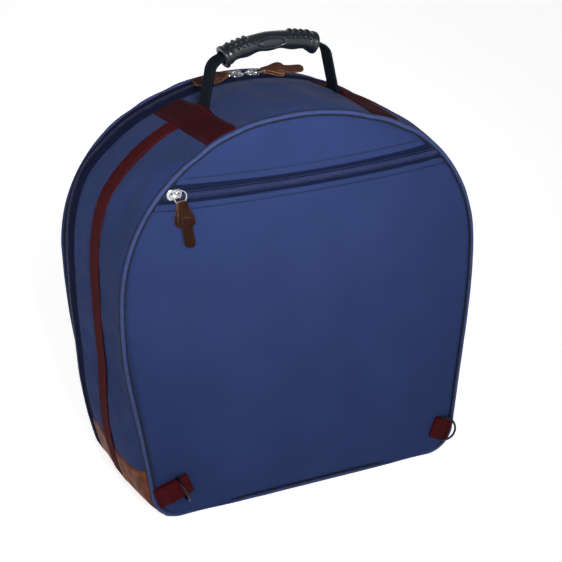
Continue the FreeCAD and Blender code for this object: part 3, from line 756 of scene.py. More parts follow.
def add_hem(piece, edge, direction):
    """Folds the free edge of a back panel piece round towards the zip tape."""
    turns = np.radians(np.linspace(30, 180, 5))
    radius = 0.9
    rows = [edge]
    for turn in turns:
        moved = edge.copy()
        moved[:, 2] += direction * radius * math.sin(turn)
        moved[:, 1] += radius * (1 - math.cos(turn))
        rows.append(moved)
    band = np.stack(rows)
    uv = np.stack([band[..., 0], band[..., 2]], -1)
    hem = grid_object(piece.name + "_hem", band, uv)
    finish_piece(hem, "bag", NAVY)


def back_top_panel():
    """Panel above the pocket zip, under the arch of the top."""
    low, inset = POCKET_ZIP_Z + POCKET_MOUTH / 2, 3.2
    half = float(half_width_at(low, inset)) - 0.5
    columns = np.sin(np.linspace(-1, 1, 61) * math.pi / 2) * half
    share = np.array([0, 0.03, 0.1, 0.14, 0.17, 0.2, 0.28, 0.4, 0.52, 0.64, 0.76, 0.87, 0.94, 0.975, 1])
    v, x = np.meshgrid(share, columns, indexing="ij")
    top = top_at(x, inset)
    z = low + 1 + v * (top - low - 1)
    gap = np.minimum(top - z, (half - np.abs(x)) * 0.6)
    rise = 4.0 * (1 - np.exp(-((np.maximum(gap, 0) / 16) ** 1.6))) * np.clip((z - low) / 25, 0.1, 1)
    y = -COVER_Y - 0.6 - rise + 2.6 * np.exp(-(top - z) / 3.0)
    stitch = low + POCKET_STITCH_OUT
    piece = grid_object("pocket_top", np.stack([x, y, z], -1), np.stack([x, z], -1))
    edge = (v < 0.2) | (v > 0.93) | (half - np.abs(x) < 6)
    settle(piece, edge.ravel(), 1.0, 0.003, 3.0)
    points = coordinates(piece).reshape(z.shape + (3,))
    points[..., 1] += 0.7 * np.exp(-((z - stitch) / 1.3) ** 2)
    points = sagged(upper_hem(points))
    points[..., 2] += edge_bulge(x) * np.exp(-(top - z) / 22)
    set_coordinates(piece, points.reshape(-1, 3))
    add_hem(piece, points[0], -1)
    refine(piece)
    finish_piece(piece, "bag", NAVY, ["pocket_top_panel"])


def pocket_stitching():
    """Two rows of stitches that hold the pocket zip, above and below it."""
    parts = []
    for side in (1, -1):
        z = POCKET_ZIP_Z + side * (POCKET_MOUTH / 2 + POCKET_STITCH_OUT) + POCKET_OVERLAP * (side < 0)
        half = float(half_width_at(z, 6.0))
        x = np.linspace(-half, half, 90)
        y = np.full_like(x, -COVER_Y - 1.0)
        line = np.stack([x, y, np.full_like(x, z)], 1)
        line = sagged(upper_hem(line) if side > 0 else line)
        out = np.broadcast_to(OUT_OF_BACK, line.shape)
        parts.append(stitches(line, out, 3.6, 2.9, 1.0, sink=-0.3))
    finish_piece(joined("pocket_stitching", parts), "bag", NAVY_THREAD_AND_SEAM_SHADOW)


def pocket_tapes():
    """Tape halves on each side of the pocket's chain, tucked under the hems."""
    for side, node in ((1, "pocket_zip_tape_upper"), (-1, "pocket_zip_tape_lower")):
        z = POCKET_ZIP_Z + side * np.linspace(0.3, 15, 16)
        u = np.linspace(-1, 1, 61)
        zz, uu = np.meshgrid(z, u, indexing="ij")
        x = uu * half_width_at(zz, 4.0)
        ripple = noise_grid(x, 0, zz, 18, 3)
        y = -COVER_Y + 0.55 + 0.25 * ripple
        piece = grid_object(f"pocket_tape_{node.split('_')[-1]}", sagged(np.stack([x, y, zz], -1)),
                            np.stack([x, zz], -1))
        finish_piece(piece, "bag", POCKET_TAPE, [node])


def pocket_coil():
    """Teeth of the pocket zip and the stitches that hold them to the tape."""
    half = float(half_width_at(POCKET_ZIP_Z, 5.0))
    parts = []
    for side in (1, -1):
        x = np.arange(-half, half, TOOTH_PITCH) + (0 if side > 0 else TOOTH_PITCH / 2)
        places = np.stack([x, np.full_like(x, -COVER_Y - 0.6), POCKET_ZIP_Z + side * 1.25 + 0 * x], 1)
        across = np.tile([0.25, 0.0, 1.0], (len(x), 1))
        out = np.tile(OUT_OF_BACK, (len(x), 1))
        parts.append(capsules(sagged(places), across, out, 2.6, 1.5, 2.2))
        line = np.stack([np.linspace(-half, half, 120)] + [np.zeros(120)] * 2, 1)
        line[:, 1] = -COVER_Y + 0.2
        line[:, 2] = POCKET_ZIP_Z + side * 3.9
        line = sagged(line)
        parts.append(stitches(line, np.broadcast_to(OUT_OF_BACK, line.shape), 2.4, 1.9, 0.7))
    piece = joined("pocket_coil", parts)
    finish_piece(piece, "bag", COIL, ["pocket_zip_coil"])


# ---------------------------------------------------------------- piping

def piping_seam_shadows():
    """Dark cords on each side of the back piping, which paint the shade in its seams: painted seam shadow.
    """
    s = np.linspace(-HALF_RIM, HALF_RIM, 640, endpoint=False)
    parts = []
    for y, out, radius in ((-SEAM_Y - 0.6, -0.5, 1.3), (-HALF_DEPTH + 0.8, -PIPING_R * 2 - 0.5, 1.0)):
        path = rim(s, y, out - piping_kink(s))
        path[:, 1] += 3.0 * overhang(path[:, 0]) * (path[:, 2] < 12)
        path[:, 2] = np.maximum(path[:, 2], radius)
        parts.append(tube(path, radius, 6))
    finish_piece(joined("back_piping_seam_shadows", parts), "bag", NAVY_THREAD_AND_SEAM_SHADOW)


def piping_kink(s):
    """How far the patches' edges pull the piping in."""
    return sum(0.9 * np.exp(-(((np.abs(s) - place) / 11) ** 2)) for place in (PATCH_START, PATCH_END + 8))


def piping_loop(name, y, body, node, out_y, look):
    """Piping cord round the outline, with the small kinks that the seams give it."""
    s = np.linspace(-HALF_RIM, HALF_RIM, 640, endpoint=False)
    wobble = noise_grid(s, 0, 0, 26, 5 if out_y < 0 else 6)
    out = -PIPING_R + 0.35 * wobble - piping_kink(s)
    flat = np.abs(s) > s_at_height(8)
    out = np.where(flat, -PIPING_R, out)
    path = rim(s, y + out_y * 0.3 * wobble, out)
    path[:, 1] -= out_y * 1.6 * overhang(path[:, 0]) * flat
    radius = PIPING_R * (1 + 0.05 * np.roll(wobble, 40))
    piece = joined(name, [tube(path, radius, 12)])
    finish_piece(piece, body, look, [node])


# ---------------------------------------------------------------- gusset

def leather_edge(y):
    """Height of the leather base's upper edge, which dips near the back seam."""
    return np.interp(y, [-99, -85, -65, -40, -10, 20, 50], [64, 60, 57, 57, 63, 67, 66])


def gusset_fabric():
    """Padded fabric wall from one side of the base over the top to the other."""
    end = s_at_height(48)
    s = np.linspace(-end, end, 215)
    y = np.concatenate([[-SEAM_Y - 0.6, -SEAM_Y + 0.8, -SEAM_Y + 3, -SEAM_Y + 6],
                        np.linspace(-SEAM_Y + 11, ZIP_EDGE_Y - 7, 27),
                        [ZIP_EDGE_Y - 4, ZIP_EDGE_Y - 1.8, ZIP_EDGE_Y]])
    ss, yy = np.meshgrid(s, y, indexing="ij")
    out = swell(ss, yy) - 2.4 * np.exp(-(yy + SEAM_Y) / 3.0)
    creases = noise_grid(ss / 26, yy / 75, 0, 1.0, 2)
    inside = np.clip((yy + SEAM_Y) / 25, 0, 1) * np.clip((ZIP_EDGE_Y - yy) / 15, 0, 1)
    heights = rim(ss, yy, 0.0)[..., 2]
    clear = np.clip((heights - leather_edge(yy) - 2) / 14, 0, 1)
    streaks = noise_grid(ss / 62 + yy / 45, yy / 12, 0, 1.0, 21)
    beside_patch = np.exp(-(((np.abs(ss) - 175) / 55) ** 2)) * np.exp(-(((yy + 58) / 30) ** 2))
    out += 1.0 * creases * inside * clear + 1.5 * streaks * beside_patch * inside
    points = rim(ss, yy, out)
    piece = grid_object("gusset_cover", points, np.stack([ss, yy], -1))
    strap = np.abs(yy - STRAP_Y) < 11
    patch = (np.abs(ss) > PATCH_START) & (np.abs(ss) < PATCH_END)
    edge = (yy < -SEAM_Y + 2) | (yy > ZIP_EDGE_Y - 3) | (np.abs(ss) > end - 6)
    held = edge | patch | (strap & (np.abs(ss) > PATCH_START)) | (clear < 0.1)
    settle(piece, held.ravel(), 1.6, 0.012, 4.0)
    refine(piece)
    finish_piece(piece, "bag", NAVY, ["gusset_fabric", "gusset_foam"])


def gusset_hem():
    """Folded edge of the gusset fabric along the main zip, with its row of stitches."""
    end = s_at_height(ZIP_FOOT_Z)
    s = np.linspace(-end, end, 260)
    rows = []
    for turn in np.radians(np.linspace(0, 180, 6)):
        rows.append(rim(s, ZIP_EDGE_Y - 0.3 + 0.9 * math.sin(turn),
                        swell(s, ZIP_EDGE_Y) - 0.9 * (1 - math.cos(turn))))
    band = np.stack(rows)
    uv = np.stack(np.broadcast_arrays(s[None], np.arange(6)[:, None] * 1.0), -1)
    finish_piece(grid_object("gusset_hem", band, uv), "bag", NAVY)
    place = ZIP_EDGE_Y - 3.2
    row = stitches(rim(s, place, swell(s, place) + 0.1), rim_out(s, place))
    finish_piece(joined("gusset_stitching", [row]), "bag", NAVY_THREAD_AND_SEAM_SHADOW)


def leather_run(y_values, upper_edge):
    """Sheet of leather round the base between two heights, one row of points for each y."""
    across = np.linspace(-1, 1, 300)
    rows = []
    uvs = []
    for y in y_values:
        limit = s_at_height(float(upper_edge(y)))
        low = HALF_RIM - (HALF_RIM - limit) * np.abs(across)
        s = np.where(across < 0, -low, low)
        off_floor = low < s_at_height(2)
        rise = 1.5 * np.clip((low - limit) / 1.0, 0.2, 1) * off_floor
        valley = 2.2 * np.exp(-(y + SEAM_Y) / 2.5) * (low < s_at_height(6))
        rows.append(rim(s, y, swell(s, y) * (low < s_at_height(4)) + rise - valley - 0.15))
        uvs.append(np.stack([np.sign(across) * (low - HALF_RIM), np.full_like(s, y)], 1))
    points = np.stack(rows)
    along = points * [0, 1 / 7.0, 1 / 60.0]
    gathers = noise_field(along.reshape(-1, 3), 1.0, 8).reshape(points.shape[:2])
    high = np.clip((points[..., 2] - 3) / 20, 0, 1) * np.clip((-40 - points[..., 1]) / 30, 0.15, 1)
    points[..., 0] += np.sign(points[..., 0]) * 1.3 * gathers * high
    return points[::-1], grid_faces(*points.shape[:2]), np.stack(uvs)[::-1]


def leather_base():
    """Leather that wraps the base and the lower corners of the gusset, and runs out under the lid."""
    body = leather_run(np.linspace(-SEAM_Y - 0.4, ZIP_EDGE_Y + 0.6, 38), leather_edge)
    tongue = leather_run(np.linspace(ZIP_EDGE_Y, 91.0, 12), lambda y: ZIP_FOOT_Z + 0.5)
    piece = joined("leather_base", [body, tongue])
    finish_piece(piece, "bag", LEATHER, ["base_leather", "base_foam"])
    parts = []
    for side in SIDES.values():
        y = np.linspace(-SEAM_Y + 2, ZIP_EDGE_Y - 2, 90)
        s = np.array([s_at_height(float(leather_edge(v)) - 2.6) for v in y]) * side
        line = rim(s, y, swell(s, y) + 1.5)
        parts.append(stitches(line, rim_out(s, y), 4.0, 2.9))
    finish_piece(joined("leather_stitching", parts), "bag", BROWN_THREAD)


def side_straps():
    """Burgundy webbing down each side and under the base, with its edge stitching."""
    s = np.linspace(PATCH_END - 4, 2 * HALF_RIM - PATCH_END + 4, 420)
    wrapped = np.where(s > HALF_RIM, s - 2 * HALF_RIM, s)
    on_floor = np.abs(wrapped) > s_at_height(1.5)
    lift = np.where(on_floor, -1.5, swell(wrapped, STRAP_Y) + 0.2)
    line = rim(wrapped, STRAP_Y, lift)
    up = rim_out(wrapped, STRAP_Y)
    across = np.tile(ALONG_Y, (len(s), 1))
    points, faces, uv = ribbon(line, across, up, 12.8, 1.5)
    piece = mesh_object("side_webbing", points, faces, uv)
    finish_piece(piece, "bag", BURGUNDY, ["side_strap"])
    parts = []
    for shift in (-10.9, 10.9):
        for side in SIDES.values():
            t = np.linspace(PATCH_END + 2, s_at_height(3), 260) * side
            row = rim(t, STRAP_Y + shift, swell(t, STRAP_Y) + 1.72)
            parts.append(stitches(row, rim_out(t, 0), 4.4, 3.0, 0.7))
    finish_piece(joined("side_webbing_stitching", parts), "bag", WINE_THREAD)


def patch_skew(y):
    """How far a patch is drawn to the right of its even place, more so towards the back seam."""
    return 1.5 + 3.5 * np.clip((ZIP_EDGE_Y - y) / (ZIP_EDGE_Y + SEAM_Y), 0, 1)


def handle_patch(name):
    """Burgundy patch across the gusset, puffed up where the handle's webbing is sewn in."""
    side = SIDES[name]
    s = np.concatenate([[PATCH_START, PATCH_START], np.linspace(PATCH_START, PATCH_END, 19),
                        [PATCH_END, PATCH_END]])
    lift = np.concatenate([[-1.2, 0.2], np.full(19, 1.5), [0.2, -1.2]])
    lift[2], lift[-3] = 1.0, 1.0
    y = np.concatenate([[-SEAM_Y - 0.8, -SEAM_Y + 0.4], np.linspace(-SEAM_Y + 2, ZIP_EDGE_Y - 1, 60),
                        [ZIP_EDGE_Y + 0.2, ZIP_EDGE_Y + 0.6]])
    ss, yy = np.meshgrid(s, y, indexing="ij")
    rise = np.broadcast_to(lift[:, None], ss.shape).copy()
    rise[:, -1] = -1.0
    rise[:, 0] -= 2.5
    puff = 4.2 * np.exp(-(((yy - STRAP_Y) / 19) ** 4)) * np.clip((PATCH_END - ss) / 34, 0, 1) ** 0.7
    puff *= np.where(lift > 0.5, 1.0, 0.6)[:, None]
    wobble = noise_grid(ss, yy, 0, 13, 7)
    pull_in = 2.2 * np.exp(-((yy - STRAP_Y) / 26) ** 2) * (ss < PATCH_START + 4)
    base = swell(ss, yy) - 2.0 * np.exp(-(yy + SEAM_Y) / 3.0)
    out = base + rise + puff + 0.35 * wobble * (rise > 0)
    points = rim((ss - pull_in) * side + patch_skew(yy), yy, out)
    order = points if side > 0 else points[::-1]
    uv = np.stack([yy, ss], -1)
    piece = grid_object(f"patch_{name}", order, uv if side > 0 else uv[::-1])
    refine(piece)
    finish_piece(piece, "bag", PATCH, [f"handle_patch_{name}"])
    parts = []
    for place in (PATCH_START + 3, PATCH_END - 3):
        t = np.linspace(-SEAM_Y + 3, ZIP_EDGE_Y - 2, 80)
        near = 4.2 * np.exp(-(((t - STRAP_Y) / 19) ** 4)) * max(0, (PATCH_END - place) / 34) ** 0.7
        s_values = place * side + patch_skew(t)
        line = rim(s_values, t, swell(s_values, t) + 1.6 + near)
        parts.append(stitches(line, rim_out(s_values, t), 4.0, 2.8))
    finish_piece(joined(f"patch_stitching_{name}", parts), "bag", WINE_THREAD)


# ---------------------------------------------------------------- main zip and lid

def main_tapes():
    """Tape on each side of the main zip, folded in at the cut so that the wall looks closed."""
    end = s_at_height(ZIP_FOOT_Z)
    s = np.linspace(-end, end, 260)
    halves = {
        "body": ("bag", np.linspace(ZIP_EDGE_Y - 1, ZIP_Y - 0.35, 12), ["body_zip_tape"]),
        "lid": ("lid", np.linspace(SEAM_Y + 0.4, ZIP_Y + 0.35, 12), ["lid_zip_tape", "lid_rim_foam"]),
    }
    for name, (body, places, nodes) in halves.items():
        y = np.concatenate([places, np.full(4, places[-1])])
        drop = np.concatenate([np.full(12, 1.3), [2.2, 4.5, 8.0, 10.6]])
        yy, ss = np.meshgrid(y, s, indexing="ij")
        ripple = noise_grid(ss, yy, 0, 24, 11)
        near = np.minimum(np.abs(yy - ZIP_Y) / 6, 1)
        out = swell(ss, yy) - drop[:, None] + 0.35 * ripple * near
        if name == "lid":
            out -= 1.2 * np.exp(-(SEAM_Y - yy) / 2.5)
        points = rim(ss, yy, out)
        uv = np.stack([ss, yy - drop[:, None]], -1)
        if name == "lid":
            points, uv = points[::-1], uv[::-1]
        piece = grid_object(f"main_tape_{name}", points[::-1], uv[::-1])
        finish_piece(piece, body, TAPE, nodes)


def main_coils():
    """Interlocked teeth of the main zip, half on the body and half on the lid."""
    end = s_at_height(ZIP_FOOT_Z + 2)
    for name, body, side in (("body", "bag", -1), ("lid", "lid", 1)):
        s = np.arange(-end, end, TOOTH_PITCH) + (0 if side > 0 else TOOTH_PITCH / 2)
        y = np.full_like(s, ZIP_Y + side * 1.6)
        up = rim_out(s, y)
        along = rim(s + 0.5, y, 0.0) - rim(s - 0.5, y, 0.0)
        across = ALONG_Y + 0.15 * along
        teeth = capsules(rim(s, y, swell(s, y) - 0.5), across, up, 4.2, 1.45, 2.3)
        t = np.linspace(-end, end, 500)
        row = rim(t, ZIP_Y + side * 4.6, swell(t, ZIP_Y) - 1.15)
        sewn = stitches(row, rim_out(t, 0), 2.6, 2.0, 0.6)
        piece = joined(f"main_coil_{name}", [teeth, sewn])
        finish_piece(piece, body, MAIN_COIL, [f"{name}_zip_coil"])


def lid_face():
    """Padded face of the lid."""
    low = 3.2
    x, z = outline_grid(low, full_heights(low, 52), np.linspace(-1, 1, 71))
    gap_side = half_width_at(z, low) - np.abs(x)
    gap_top = top_at(x, low) - z
    gap = np.maximum(np.minimum(np.minimum(gap_side, gap_top), z - low), 0)
    rise = 8.5 * (1 - np.exp(-((gap / 50) ** 1.6)))
    y = COVER_Y + 0.4 + rise - 2.6 * np.exp(-gap / 3.0)
    points = np.stack([x, y, z], -1)[:, ::-1]
    piece = grid_object("lid_face", points, np.stack([x, z], -1)[:, ::-1])
    held = gap[:, ::-1] < 3
    settle(piece, held.ravel(), 1.2, 0.004, 5.0)
    refine(piece)
    finish_piece(piece, "lid", NAVY, ["lid_cover", "lid_foam"])
    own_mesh(piece)


def lid_foot():
    """Binding along the lid's lower edge and across the two ends of its rim, by the hinge."""
    end = s_at_height(ZIP_FOOT_Z)
    s = np.linspace(end, 2 * HALF_RIM - end, 160)
    wrapped = np.where(s > HALF_RIM, s - 2 * HALF_RIM, s)
    section = [(COVER_Y - 0.6, -3.4), (COVER_Y - 1.6, -5.2), (COVER_Y - 3.0, -7.6),
               (COVER_Y - 5.5, -9.8), (COVER_Y - 8.5, -11.2), (COVER_Y - 10.5, -11.6)]
    rows = np.stack([rim(wrapped, y, out) for y, out in section])
    uv = np.stack(np.broadcast_arrays(s[None], np.arange(len(section))[:, None] * 2.6), -1)
    piece = grid_object("lid_foot_binding", rows, uv)
    finish_piece(piece, "lid", BINDING)
    for name, side in SIDES.items():
        y = np.linspace(ZIP_Y + 0.4, SEAM_Y, 9)
        out = np.linspace(-11.4, -1.0, 6)
        yy, oo = np.meshgrid(y, out, indexing="ij")
        bow = 1.2 * np.sin(np.linspace(0, math.pi, 9))[:, None] * np.sin(np.linspace(0, math.pi, 6))[None]
        points = rim(side * (end + bow), yy, oo)
        order = points if side > 0 else points[::-1]
        cap = grid_object(f"lid_rim_end_{name}", order, np.stack([yy, oo], -1))
        finish_piece(cap, "lid", TAPE)


# ---------------------------------------------------------------- inside

def lining_band(name, body, low_y, high_y, start, end, nodes, closed):
    """Lining round the inside of the wall, between two depths."""
    s = np.linspace(start, end, 300, endpoint=not closed)
    y = np.linspace(low_y, high_y, max(4, int(abs(high_y - low_y) / 6)))
    yy, ss = np.meshgrid(y, s, indexing="ij")
    folds = noise_grid(ss / 30, yy / 80, 0, 1.0, 12)
    inside = np.clip(np.minimum(yy - low_y, high_y - yy) / 15, 0, 1)
    out = LINING_OUT - (0.9 + 0.9 * folds) * inside * (np.abs(ss) < s_at_height(20))
    points = rim(ss, yy, out)
    piece = grid_object(name, points, np.stack([ss, yy], -1), close_columns=closed)
    finish_piece(piece, body, LINING, nodes)


def lining_panel(name, body, y, inward, nodes):
    """Flat lining over the back or the lid. inward is 1 or -1, towards the middle of the bag."""
    inset = 11.0
    x, z = outline_grid(inset, full_heights(inset, 46), np.linspace(-1, 1, 61))
    gap = np.minimum(np.minimum(half_width_at(z, inset) - np.abs(x), z - inset), top_at(x, inset) - z)
    gap = np.maximum(gap, 0)
    folds = noise_grid(x / 40, 0, z / 90, 1.0, 14)
    depth = y + inward * (2.2 * (1 - np.exp(-gap / 25)) + 0.6 * folds * (gap > 10))
    points, uvs = np.stack([x, depth, z], -1), np.stack([x, z], -1)
    if inward > 0:
        points, uvs = points[:, ::-1], uvs[:, ::-1]
    piece = grid_object(name, points, uvs)
    finish_piece(piece, body, LINING, nodes)


# ---------------------------------------------------------------- handle

GRIP_RADIUS = 198.0
GRIP_HALF_ANGLE = 17.3
GRIP_LOW, GRIP_HIGH = cad_box("handle_grip")
GRIP_CENTRE_Z = GRIP_HIGH[2] - 10.5 - GRIP_RADIUS
LEG_BEND_RADIUS = 17.0
LEG_LEAN = 11.0
LEG_FOOT_Z = 421.0
RIB_PLACES = (10.5, 17.0, 23.5, 30.0)
DIMPLE_PLACES = (21.0, 27.0, 33.0, 39.0, 45.0)


def handle_line():
    """Centreline of the handle's webbing, left end to right end: points and outward normals."""
    middle = np.array([0.0, GRIP_CENTRE_Z])
    start = math.radians(90 - GRIP_HALF_ANGLE)
    bend = middle + (GRIP_RADIUS - LEG_BEND_RADIUS) * np.array([math.cos(start), math.sin(start)])
    top, top_out = arc_points(middle, GRIP_RADIUS, 90, 90 - GRIP_HALF_ANGLE, 2.0)
    turn, turn_out = arc_points(bend, LEG_BEND_RADIUS, 90 - GRIP_HALF_ANGLE, LEG_LEAN, 1.2)
    knee = turn[-1]
    drop = np.linspace(0, 1, 24)[1:, None]
    lean = math.tan(math.radians(LEG_LEAN))
    foot = knee + np.array([(knee[1] - LEG_FOOT_Z) * lean, LEG_FOOT_Z - knee[1]])
    leg = knee + (foot - knee) * drop
    leg_out = np.repeat(turn_out[-1:], len(leg), 0)
    right = np.concatenate([top, turn[1:], leg])
    right_out = np.concatenate([top_out, turn_out[1:], leg_out])
    left, left_out = right[:0:-1] * [-1, 1], right_out[:0:-1] * [-1, 1]
    line = np.concatenate([left, right])
    out = np.concatenate([left_out, right_out])

    def spatial(flat, y):
        return np.stack([flat[:, 0], np.full(len(flat), y), flat[:, 1]], 1)

    return spatial(line, STRAP_Y), spatial(out, 0.0)


def slumped(points):
    """Handle points with its left end sunk a little, as the webbing gives."""
    points = np.array(points, float)
    share = np.clip(-points[..., 0] / 60, 0, 1)
    top = np.clip((points[..., 2] - 437) / 30, 0, 1)
    points[..., 0] += 3.2 * share
    points[..., 2] -= 3.4 * share * top
    return points


def handle_webbing():
    """Webbing strap through the grip, which bends between the bag and the handle."""
    line, out = handle_line()
    twist = noise_field(line, 40, 15)[:, None] * np.array([[0.0, 0.6, 0.0]])
    across = np.tile(ALONG_Y, (len(line), 1))
    points, faces, uv = ribbon(line - out * 1.6 + twist, across, out, 11.8, 3.2, 0.9)
    piece = mesh_object("handle_strap", slumped(points), faces, uv)
    piece.data.materials.append(BLACK_WEB)
    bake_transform(piece)
    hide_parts("handle_webbing", "handle_anchor_left", "handle_anchor_right")


def handle_grip():
    """Moulded grip: flared ends, ribs on top, dimples and an oval pad on each face."""
    rows, sides = 421, 168
    half_angle = GRIP_HALF_ANGLE - 1.0
    turn = np.linspace(0, 2 * math.pi, sides, endpoint=False)
    uu, vv = np.meshgrid(np.linspace(-1, 1, rows), turn, indexing="ij")
    half_length = math.radians(half_angle) * GRIP_RADIUS
    along = uu * half_length
    up, side = np.sin(vv), np.cos(vv)
    from_end = half_length - np.abs(along)
    collar = np.exp(-(((from_end - 2.0) / 2.2) ** 4)) + 0.5 * np.exp(-(((from_end - 7.5) / 2.6) ** 2))
    extra = 1.6 * collar * (1 + 0.5 * np.clip(-up, 0, 1))
    ribs = sum(np.exp(-(((from_end - place) / 1.9) ** 2)) for place in RIB_PLACES)
    crest = np.clip((up - 0.8) / 0.17, 0, 1)
    extra += 2.3 * ribs * crest * crest * (3 - 2 * crest)
    finger = np.clip((-up - 0.5) / 0.4, 0, 1)
    extra += 0.8 * np.cos(along / 56 * 4 * math.pi) * finger
    height = np.arcsin(np.clip(up, -1, 1)) * 11.0
    face = np.abs(side) > 0.4
    pad = np.sqrt((along / 14.5) ** 2 + ((height - 1.0) / 6.0) ** 2)
    extra += face * (0.5 / (1 + np.exp((pad - 0.9) * 26)) - 1.1 * np.exp(-(((pad - 1.05) / 0.08) ** 2)))
    for place in DIMPLE_PLACES:
        spot = np.hypot(np.abs(along) - place, height - 5.0)
        extra -= face * 1.8 * np.exp(-((spot / 1.25) ** 4))
    flat_y = np.sign(side) * np.abs(side) ** 0.9 * (12.4 + extra)
    flat_z = np.sign(up) * np.abs(up) ** 0.9 * (9.6 + extra)
    angle = np.radians(90 - uu * half_angle)
    reach = GRIP_RADIUS + flat_z
    points = np.stack([reach * np.cos(angle), STRAP_Y + flat_y, GRIP_CENTRE_Z + reach * np.sin(angle)], -1)
    loops = [points[-1]]
    for share in (0.86, 0.7):
        loops.append(points[-1].mean(0) + (points[-1] - points[-1].mean(0)) * share)
    front = [points[0].mean(0) + (points[0] - points[0].mean(0)) * share for share in (0.7, 0.86)]
    skin = np.concatenate([np.stack(front), points, np.stack(loops[1:])])
    uv = np.stack([skin[..., 0], skin[..., 2]], -1)
    piece = mesh_object("grip", slumped(skin), grid_faces(*skin.shape[:2], close_columns=True), uv)
    piece.data.flip_normals()
    finish_piece(piece, "handle", GRIP, ["handle_grip"])


# ---------------------------------------------------------------- sliders and pulls

PIN_N = 2.95
CUT_SIDE_TILT = 0.35


def slider_parts():
    """Slider in its own axes (u along the zip, v across it, n out): (points, faces, uv) parts."""
    parts = []
    sides = 40
    turn = np.linspace(0, 2 * math.pi, sides, endpoint=False)
    waist = 1 - 0.13 * np.cos(2 * turn) ** 2
    rim_u = np.sign(np.cos(turn)) * np.abs(np.cos(turn)) ** 0.85 * 8.3
    rim_v = np.sign(np.sin(turn)) * np.abs(np.sin(turn)) ** 0.85 * 6.7 * waist
    stations = [(1.0, 0.35), (1.03, 0.8), (1.0, 1.25), (0.93, 1.6), (0.8, 1.8), (0.55, 1.95), (0.25, 2.0)]
    levels = [np.stack([rim_u * k, rim_v * k, np.full(sides, n)], 1) for k, n in stations]
    levels.insert(0, np.stack([rim_u * 0.9, rim_v * 0.9, np.full(sides, 0.1)], 1))
    rings = len(levels)
    points = np.stack(levels)
    faces = grid_faces(rings, sides, close_columns=True)
    faces.append([(rings - 1) * sides + j for j in range(sides)])
    faces.append(list(range(sides))[::-1])
    parts.append((points, faces, points[..., :2]))
    bail = np.linspace(0, math.pi, 26)
    path = np.stack([-5.4 * np.cos(bail), 0 * bail, 1.2 + 4.1 * np.sin(bail) ** 0.8], 1)
    for shift in (-0.9, 0.0, 0.9):
        shifted = path + [0, shift, 0]
        parts.append(tube(shifted, 0.62 + 0.28 * np.sin(bail), 10, closed=False))
    rail = np.stack([np.linspace(-5.6, 5.6, 12), np.full(12, -5.5), np.full(12, -0.1)], 1)
    parts.append(tube(rail, 0.62, 8, closed=False))
    return parts


def leather_plate(stations):
    """Leather strip with rounded edges, from (u, centre v, half width, low n, high n) rows."""
    rows = []
    for u, middle, half, low, high in stations:
        e = min(0.6, (high - low) * 0.45)
        v = middle + np.linspace(-1, 1, 9) * (half - e * 0.6)
        ring = [(u, w, low) for w in v] + [(u, middle + half, low + e), (u, middle + half, high - e)]
        ring += [(u, w, high) for w in v[::-1]]
        ring += [(u, middle - half, high - e), (u, middle - half, low + e)]
        rows.append(ring)
    points = np.array(rows)
    columns = points.shape[1]
    faces = grid_faces(len(rows), columns, close_columns=True)
    last = (len(rows) - 1) * columns
    faces += [list(range(columns))[::-1], [last + j for j in range(columns)]]
    return points, faces, points[..., :2]


def pull_parts(lean):
    """Leather pull in its own axes: a tab folded round the ring, its tail drawn through a slit.

    lean is how far the tail hangs sideways for each millimetre of length.
    """
    upper, lower, tail = [], [], []
    outline = [(-3.0, 3.6), (-2.2, 4.9), (0, 5.5), (4, 5.9), (9, 7.3), (13, 8.7), (17, 9.6),
               (20, 9.7), (22.5, 9.0), (24.5, 7.4), (25.6, 5.0)]
    for u, half in outline:
        nose = math.sqrt(max(0.0, 1 - (min(u, 0) / 3.1) ** 2))
        outer = 0.5 + 2.3 * nose
        gap = 0.9 if u > 4 else 0.0
        swing = lean * 0.9 * min(max(u, 0), 20)
        upper.append((u, swing, half, gap * 0.6, outer + 0.02 * max(u, 0)))
        lower.append((u, swing * 0.3 - 0.8 * (u > 9), half * 0.95, -outer, -gap * 0.4))
    for u, half in ((14, 4.6), (15.2, 5.3), (17, 5.6), (21, 5.8), (25, 5.9), (30, 6.0), (36, 6.1),
                    (42, 6.1), (45.5, 5.8), (47.6, 4.6), (48.7, 2.8), (49.0, 1.2)):
        lift = 3.6 * math.exp(-(((u - 19) / 7.5) ** 2)) + 0.5 * math.sin(u / 6)
        tail.append((u, lean * (0.9 * 14 + 0.65 * (u - 14)), half, lift - 1.0, lift + 1.1))
    return [leather_plate(stations) for stations in (upper, lower, tail)]


def placed_parts(parts, origin, axes):
    matrix = np.stack(axes)
    return [(np.asarray(p).reshape(-1, 3) @ matrix + origin, f, uv) for p, f, uv in parts]


def joint_place(joint_name):
    """Place of a joint, in millimetres."""
    joint = next(j for j in frame["joints"] if j["name"] == joint_name)
    return np.array(joint["pos_m"]) / MM


def paint_edges(piece, up):
    """Gives the pale second material to a pull's cut sides."""
    mesh = piece.data
    normals = np.zeros(len(mesh.polygons) * 3)
    mesh.polygons.foreach_get("normal", normals)
    flat = np.abs(normals.reshape(-1, 3) @ up)
    mesh.polygons.foreach_set("material_index", (flat < CUT_SIDE_TILT).astype(np.int32))


